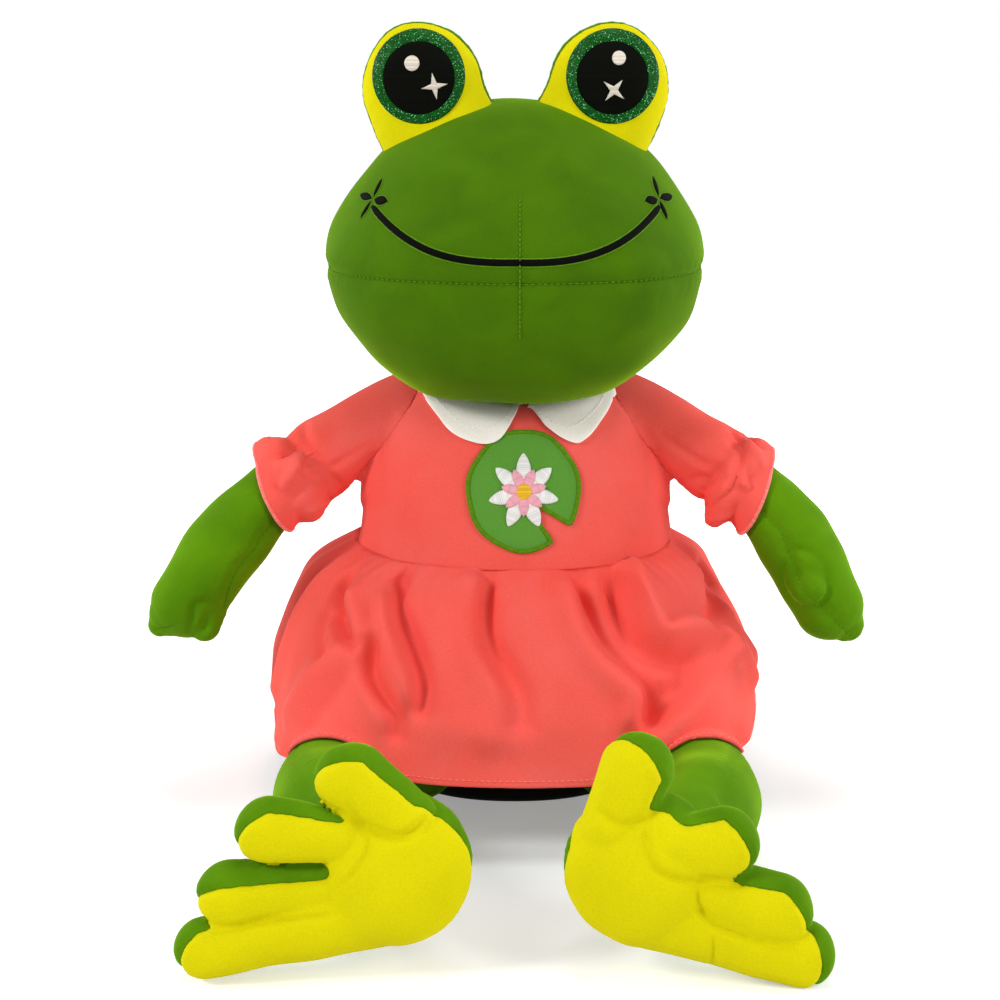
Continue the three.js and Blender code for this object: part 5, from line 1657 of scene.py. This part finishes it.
class FROG_OT_dress_top(FrogStep):
    """Bodice and raglan sleeves with gathered cuffs"""
    bl_idname = "plush_frog.dress_top"
    bl_label = "Bodice and sleeves"

    def execute(self, context):
        guides = {name: sleeve_guide(name, side) for name, side in SIDES}
        forms = [stuffed("bodice", TORSO, DRESS_GAP + CLOTH, *BODICE_GRID)]
        forms += [sleeve_form(guides[name]) for name, _ in SIDES]
        top = joined(forms, "dress_top", *CELLS["dress"])
        points = coords(top)
        for name, side in SIDES:
            points += gathered_sleeve(points, name, side, guides[name])
        set_coords(top, points)
        find = surface_of(top)
        for pixels, height, width in SLEEVE_FOLDS:
            line = traced(find, pixels, 50)
            ends = np.sin(np.linspace(0.4, math.pi - 0.4, len(line)))
            press(top, line, -SLEEVE_FOLD_DEPTH * height, width, 0, 6, ends)
        points = coords(top)
        for name, side in SIDES:
            points += off_arm(points, side, guides[name])
        set_coords(top, points)
        openings = {name: open_cuff(top, name, guides[name]) for name, _ in SIDES}
        cut_along(top, lambda p: p[:, 2] - WAIST)
        drop_where(top, lambda p: p[:, 2] < WAIST)
        cut_along(top, lambda p: np.where(p[:, 2] > NECK_EDGE, from_neck(p), 50))
        drop_where(top, lambda p: (from_neck(p) < 0) & (p[:, 2] > NECK_EDGE))
        seam_line = cut_along(top, raglan)
        press(top, seam_line, 1.5, 7, 0.35, 7)
        bodice = side_of(top, "bodice_velour", -1)
        both = side_of(top, "sleeves", 1)
        sleeves = {}
        for name, side in SIDES:
            sleeve = both.copy()
            sleeve.data = both.data.copy()
            sleeve.name = f"sleeve_velour_{name}"
            bpy.context.scene.collection.objects.link(sleeve)
            sleeves[name] = drop_where(sleeve, lambda p, side=side: p[:, 0] * side < 0)
        drop(both)
        drop(top)
        lumps(bodice, *LUMPS["bodice"], 4)
        wall(bodice, CLOTH)
        dress_up(bodice, "coral", "torso", ("dress_bodice",))
        for name, side in SIDES:
            sleeve = sleeves[name]
            wall(sleeve, CLOTH)
            dress_up(sleeve, "coral", None, (f"sleeve_{name}",))
            edge, middle = openings[name]
            edge = resampled(np.vstack([edge, edge[:6]]), 1.2)
            edge = edge - unit(edge - middle) * CLOTH / 2
            widths = np.full(len(edge), CUFF_EDGE)
            rim = satin(f"cuff_edge_{name}", edge, unit(edge - middle), widths, CUFF_EDGE)
            dress_up(rim, "coral_thread")
            bend_at_shoulder(name, side, sleeve, rim)
        return {"FINISHED"}


class FROG_OT_collar(FrogStep):
    """The white collar in two rounded pieces, topstitched near the edge"""
    bl_idname = "plush_frog.collar"
    bl_label = "Collar"

    def execute(self, context):
        under = ("bodice_velour", "body_front", "body_back", "sleeve_velour_left", "sleeve_velour_right")
        find = surface_of(*(bpy.data.objects[name] for name in under))
        neck_top = np.array([0, 0, 262.0]), np.array([0, 0, 1.0])
        count, depth = 90, 16
        shares = np.sin(np.linspace(0, math.pi / 2, depth))
        wave = 0.7 * np.sin(np.linspace(0, 9, count))[:, None] * shares[None, :]
        rise = 1.1 + 0.6 * wave + 1.0 * shares[None, :] ** 6
        thick = COLLAR_THICK * (1 - shares**12) ** 0.5 + 0.1
        turn = np.linspace(-math.pi / 2 + 0.03, math.pi / 2 - 0.03, count)
        for name, side in SIDES:
            reach, back = COLLAR_REACH
            front = [(x, y, 0) for x, y, _ in sighted(find, COLLAR_FRONTS[name]) if y < 0]
            outer = run(front + [(side * x * reach, y * back, 0) for x, y in COLLAR_BACK_SHARES], count)
            across, deep = side * COLLAR_INNER * np.cos(turn), NECK[1] + COLLAR_INNER * np.sin(turn)
            inner = np.stack([across, deep, np.zeros(count)], 1)
            flat = (inner[:, None] + (outer - inner)[:, None] * shares[None, :, None]).reshape(-1, 3)
            places = laid(find, flat, FROM_ABOVE, neck_top)[0].reshape(count, depth, 3)
            for _ in range(8):
                places[1:-1, 1:-1] = (places[1:-1, 1:-1] * 2 + places[:-2, 1:-1] + places[2:, 1:-1]
                                      + places[1:-1, :-2] + places[1:-1, 2:]) / 6
            ways = unit(np.cross(np.gradient(places, axis=0), np.gradient(places, axis=1)))
            ways = ways * np.sign(ways[:, :, 2:3] + 1e-9)
            top = places + ways * (rise + thick[None, :] / 2)[:, :, None]
            low = places + ways * (rise - thick[None, :] / 2)[:, :, None]
            rings = np.concatenate([top, low[:, ::-1]], axis=1)
            collar = skin(f"collar_velour_{name}", rings, rings[0].mean(0), rings[-1].mean(0))
            smooth_shaded(face_outward(collar))
            dress_up(collar, "white", "torso", (f"collar_{name}",))
            edge = int(depth * 0.6)
            row = resampled(top[2:-1, edge], 1.0)
            stitched = stitches(f"collar_stitches_{name}", row, normals_at(collar, row), *COLLAR_STITCH)
            dress_up(stitched, "white_thread", "torso")
        return {"FINISHED"}


def off_body(points, clearance):
    """Cloth that would pass through the body is moved out to it."""
    width, front, back = TORSO["size"][1:]
    table = np.array(TORSO_SHARES, float)[1:]
    row = np.arange(len(table))
    share = np.interp(points[:, 2] / TORSO["size"][0], table[:, 0], row)
    wide, ahead, behind = (np.interp(share, row, table[:, column]) for column in (1, 2, 3))
    across = wide * width + clearance
    deep = np.where(points[:, 1] < 0, ahead * front, behind * back) + clearance
    inside = (np.abs(points[:, 0] / across) ** SECTION_POWER + np.abs(points[:, 1] / deep) ** SECTION_POWER)
    scale = np.clip(inside, 0.05, 1) ** (-1 / SECTION_POWER)
    return points * np.stack([scale, scale, np.ones(len(points))], 1)


def off_legs(points, clearance, reach=1e-6):
    """Cloth that would pass through a leg is lifted onto it, and cloth within reach is drawn down to it."""
    for _, side in SIDES:
        line = run(leg_points(side), 60)
        radii = even_values(LEG_RADII, np.linspace(0, 1, len(line)))
        gaps = np.linalg.norm(points[:, None] - line[None], axis=2) - radii[None]
        near = gaps.argmin(1)
        gap = gaps[np.arange(len(points)), near]
        way = unit(points - line[near])
        lift = clearance - gap
        lift *= np.where(lift > 0, 1, 1 - fade(-lift, reach / 3, reach))
        points = points + way * lift[:, None]
    return points


def ways_out(grid):
    """Ways out of a grid of points that runs round and down."""
    return unit(np.cross(np.roll(grid, -1, 1) - np.roll(grid, 1, 1), -np.gradient(grid, axis=0)))


def side_folds(degrees, fall):
    """How far folds at the sides and back and the gathers stand out of the plain skirt."""
    fold = np.zeros_like(degrees)
    across, down = degrees * PER_DEGREE, fall * FALL_LENGTH
    for line, rise, width in SKIRT_FOLDS:
        path = run([(d * PER_DEGREE, f * FALL_LENGTH, 0) for d, f in line], 40)[:, :2]
        gap = np.hypot(across[..., None] - path[:, 0], down[..., None] - path[:, 1]).min(2)
        fold += rise * (0.3 + 0.7 * fade(fall, 0, 0.25)) * bell(gap, 0, width)
        if rise < 0:
            fold -= 0.5 * rise * fade(fall, 0, 0.3) * bell(gap, 2 * width, 1.1 * width)
    turn = np.radians(degrees)
    gathers = 1.3 * np.sin(turn * 46 + 1.5 * np.sin(turn * 7))
    fold += gathers * np.exp(-fall * 9) * (1 - np.exp(-fall * 60))
    return fold * sizes().fold


def plain_skirt(degrees, fall, fold):
    """Rings of the skirt from the waist to the hem, raised and fuller where it lies over the legs."""
    table, torso = np.array(SKIRT_SHARES, float), np.array(TORSO_SHARES, float)
    shares = hermite(table[:, 0], table[:, 1:], fall)
    share_up = WAIST / TORSO["size"][0]
    body = np.array([np.interp(share_up, torso[:, 0], torso[:, column]) for column in (1, 2, 3)])
    waist = body * np.array(TORSO["size"][1:], float) + DRESS_GAP + CLOTH
    hem = np.array(SKIRT_HEM, float)
    rings = []
    for row, fallen in enumerate(fall):
        turned = degrees + SKIRT_SHIFT * fallen**1.3 * bell(degrees, 0, 45)
        x, y = squarish(np.radians(turned - 90), SECTION_POWER + (HEM_POWER - SECTION_POWER) * fallen)
        size = waist + (hem - waist) * shares[row]
        from_front = np.radians(np.abs(turned))
        lap = bell(from_front, *(math.radians(degree) for degree in LAP))
        down = SKIRT_DROPS[0] + (SKIRT_DROPS[1] - SKIRT_DROPS[0]) * (1 - np.cos(from_front)) / 2
        lifted = np.where(turned > 0, LAP_RISE["left"], LAP_RISE["right"]) * lap
        down -= lifted + HEM_SIDE_RISE * bell(turned, *HEM_SIDE)
        flatter = HIP_SLIM * math.sin(math.pi * min(1, fallen / HIP_SLIM_SHARE) ** 0.7)
        full = LAP_FULL * lap * fallen**2
        wide = size[0] + fold[row] + full - flatter * bell(turned, *HIP_SIDE)
        deep = np.where(y < 0, size[1], size[2]) + fold[row] + full
        rings.append(np.stack([wide * x, deep * y, WAIST + 0.8 - fallen * down], 1))
    return np.array(rings)


def lap_folds(grid, fall):
    """The skirt with folds pressed into it and out of it along lines that the camera sees."""
    base = new_piece("base", grid.reshape(-1, 3), net(*fall.shape, hoop=True))
    find = surface_of(base)
    drop(base)
    flat, fall = grid.reshape(-1, 3), fall.ravel()
    rise = np.zeros(len(flat))
    near_waist = 1 - fade(fall, 0.12, 0.4)
    for pixels, height, width in LAP_FOLDS:
        away, _ = distances(flat, traced(find, pixels, 70))
        rise += height * (bell(away, 0, width) + 0.4 * near_waist * bell(away / width * 2.4))
    rise *= (0.3 + 0.7 * fade(fall, 0, 0.06)) * sizes().fold * LAP_FOLD_DEPTH
    return (flat + ways_out(grid).reshape(-1, 3) * rise[:, None]).reshape(grid.shape)


def settled(grid, fall):
    """The skirt laid off body and legs and smoothed, its hem drawn to the legs."""
    gap = DRESS_GAP + CLOTH
    for _ in range(5):
        grid = off_legs(off_body(grid.reshape(-1, 3), gap), gap + 1).reshape(grid.shape)
        beside = np.roll(grid, 1, 1) + np.roll(grid, -1, 1)
        grid[1:-1] = (2 * grid[1:-1] + grid[:-2] + grid[2:] + beside[1:-1]) / 6
        grid[-1] = (2 * grid[-1] + beside[-1]) / 4
    drawn = off_legs(grid.reshape(-1, 3), gap, HEM_DRAW).reshape(grid.shape)
    grid += (drawn - grid) * fade(fall, 0.78, 1)[:, None, None]
    hem = grid[-HEM_ROWS:]
    for _ in range(3):
        beside = np.roll(hem, 1, 1) + np.roll(hem, -1, 1)
        hem[:] = (2 * hem + beside) / 4
    return grid


def overlap(name, degrees):
    """How far a half of the skirt stands out near its edges: the right half lies outside where the two
    meet, in front and behind, and its edge is turned in to the left half, so that it looks like a fold."""
    from_front, from_back = degrees - SKIRT_SPANS["right"][1], np.abs(degrees) - 180
    if name == "left":
        return -OVERLAP_UNDER * (fade(-from_front, 0, 4) + fade(from_back, 0, 4))
    level = OVERLAP_LIFT * (bell(from_front, 0, OVERLAP_SPREAD) + bell(from_back, 0, OVERLAP_SPREAD))
    return level - OVERLAP_TURN * (fade(from_front, -4, 0) + fade(from_back, -4, 0))


class FROG_OT_skirt(FrogStep):
    """The gathered skirt in two overlapping halves that fall over the legs, with its hem"""
    bl_idname = "plush_frog.skirt"
    bl_label = "Skirt"

    def execute(self, context):
        columns, rows = SKIRT_GRID
        fall = np.linspace(0, 1, rows) ** 0.9
        degrees = np.arange(columns) * 360 / columns - 180
        grid_turn, grid_fall = np.meshgrid(degrees, fall)
        grid = plain_skirt(degrees, fall, side_folds(grid_turn, grid_fall))
        grid = settled(lap_folds(grid, grid_fall), fall)
        ways = ways_out(grid)
        for name, (first, last) in SKIRT_SPANS.items():
            side = dict(SIDES)[name]
            chosen = np.arange(round((first + 180) / 360 * columns), round((last + 180) / 360 * columns) + 1)
            half, out = grid[:, chosen % columns].copy(), ways[:, chosen % columns]
            level = overlap(name, chosen * 360 / columns - 180)
            half += out * (level[None, :] * fade(fall * FALL_LENGTH, 0, 9)[:, None])[:, :, None]
            skirt = new_piece(f"skirt_velour_{name}", half.reshape(-1, 3), net(rows, len(chosen)))
            wall(skirt, CLOTH)
            dress_up(skirt, "coral", None, ("dress_skirt",))
            sewn = half[rows - 4]
            row = resampled(sewn, 1.0)
            place = np.argmin(np.linalg.norm(sewn[:, None] - row[None], axis=2), axis=0)
            lifted = unit(out[rows - 4][place])
            hem_row = stitches(f"hem_stitches_{name}", row + lifted * THREAD_LIFT, lifted, *HEM_STITCH)
            dress_up(hem_row, "coral_thread")
            way = np.array(SKIRT_BEND_WAY) * [side, 1, 1]
            start = SKIRT_BEND[0] * way
            end = start + SKIRT_BEND[1] * way
            for piece in (skirt, hem_row):
                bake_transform(piece, "torso", f"leg_{name}", start=start * MM, end=end * MM)
        return {"FINISHED"}


class FROG_OT_badge(FrogStep):
    """A sewn lily pad with a water lily on the chest"""
    bl_idname = "plush_frog.badge"
    bl_label = "Lily badge"

    def execute(self, context):
        find = surface_of(bpy.data.objects["bodice_velour"])
        across, up, radius = BADGE
        turn = np.radians(np.linspace(-34, 298, 120))
        edge = radius * (1 + 0.012 * np.sin(7 * turn))
        outline = np.stack([across + edge * np.cos(turn), np.zeros(120), up + edge * np.sin(turn)], 1)
        notch = np.array([[across + BADGE_NOTCH[0], 0, up + BADGE_NOTCH[1]]])
        outline = np.vstack([outline, notch + (outline[-1] - notch) * [[0.66], [0.33]], notch,
                             notch + (outline[0] - notch) * [[0.33], [0.66]]])
        pad = patch("lily_pad", find, outline, FROM_FRONT, 0.2, 1.3, 16, (across - 4, 0, up + 4))
        dress_up(pad, "leaf", "torso", ("badge_lily_pad",))
        closed = np.vstack([outline, outline[:1]])
        border = closed * 0.985 + np.array([across, 0, up]) * 0.015
        spots, outs = laid(find, run(border, 300), FROM_FRONT)
        rim = satin("lily_pad_border", spots + outs * 0.6, outs, np.full(300, 1.5), 0.9)
        dress_up(rim, "green_thread", "torso")
        centre = np.array([across, 0, up])

        def petals(name, count, length, width, offset, lift, finish, node_name):
            widths = 0.3 + width * np.sin(np.linspace(0.15, math.pi, 22)) ** 0.75
            made = []
            for index in range(count):
                angle = math.radians(offset + 360 * index / count)
                way = np.array([math.cos(angle), 0, math.sin(angle)])
                made.append(petal("petal", find, centre, way, length, 0.12, widths, 1.1, lift))
            dress_up(gathered(made, name), finish, "torso", (node_name,))

        petals("lily_petals", 7, 22, 4.4, 90, 1.6, "white_thread", "badge_lily_petals")
        petals("lily_inner_petals", 7, 14, 3.0, 90 + 180 / 7, 2.6, "pink_thread", "badge_lily_inner_petals")
        angle = turns(40)
        x, z = across + LILY_HEART * np.cos(angle), up + LILY_HEART * np.sin(angle)
        heart = patch("lily_heart", find, np.stack([x, np.zeros(40), z], 1), FROM_FRONT, 2.6, 2.2, 8)
        dress_up(heart, "gold_thread", "torso", ("badge_lily_centre",))
        return {"FINISHED"}


STEPS = (FROG_OT_stage, FROG_OT_head, FROG_OT_eyes, FROG_OT_mouth, FROG_OT_body, FROG_OT_arms, FROG_OT_legs,
         FROG_OT_feet, FROG_OT_dress_top, FROG_OT_collar, FROG_OT_skirt, FROG_OT_badge)


class FROG_PT_panel(bpy.types.Panel):
    """Every step of the frog, with its sizes and colours"""
    bl_idname = "FROG_PT_panel"
    bl_label = "Plush Frog"
    bl_space_type = "VIEW_3D"
    bl_region_type = "UI"
    bl_category = "Plush Frog"

    def draw(self, context):
        for settings in (context.scene.plush_frog_sizes, context.scene.plush_frog_colours):
            box = self.layout.box()
            for name in settings.bl_rna.properties.keys():
                if name not in {"rna_type", "name"}:
                    box.prop(settings, name)
        for step in STEPS:
            self.layout.operator(step.bl_idname)


CLASSES = (PlushFrogSizes, PlushFrogColours, *STEPS, FROG_PT_panel)


def register():
    for found in CLASSES:
        bpy.utils.register_class(found)
    bpy.types.Scene.plush_frog_sizes = bpy.props.PointerProperty(type=PlushFrogSizes)
    bpy.types.Scene.plush_frog_colours = bpy.props.PointerProperty(type=PlushFrogColours)


def unregister():
    del bpy.types.Scene.plush_frog_colours
    del bpy.types.Scene.plush_frog_sizes
    for found in reversed(CLASSES):
        bpy.utils.unregister_class(found)


def main():
    register()
    for step in STEPS:
        family, name = step.bl_idname.split(".")
        getattr(getattr(bpy.ops, family), name)()


if __name__ == "__main__":
    main()
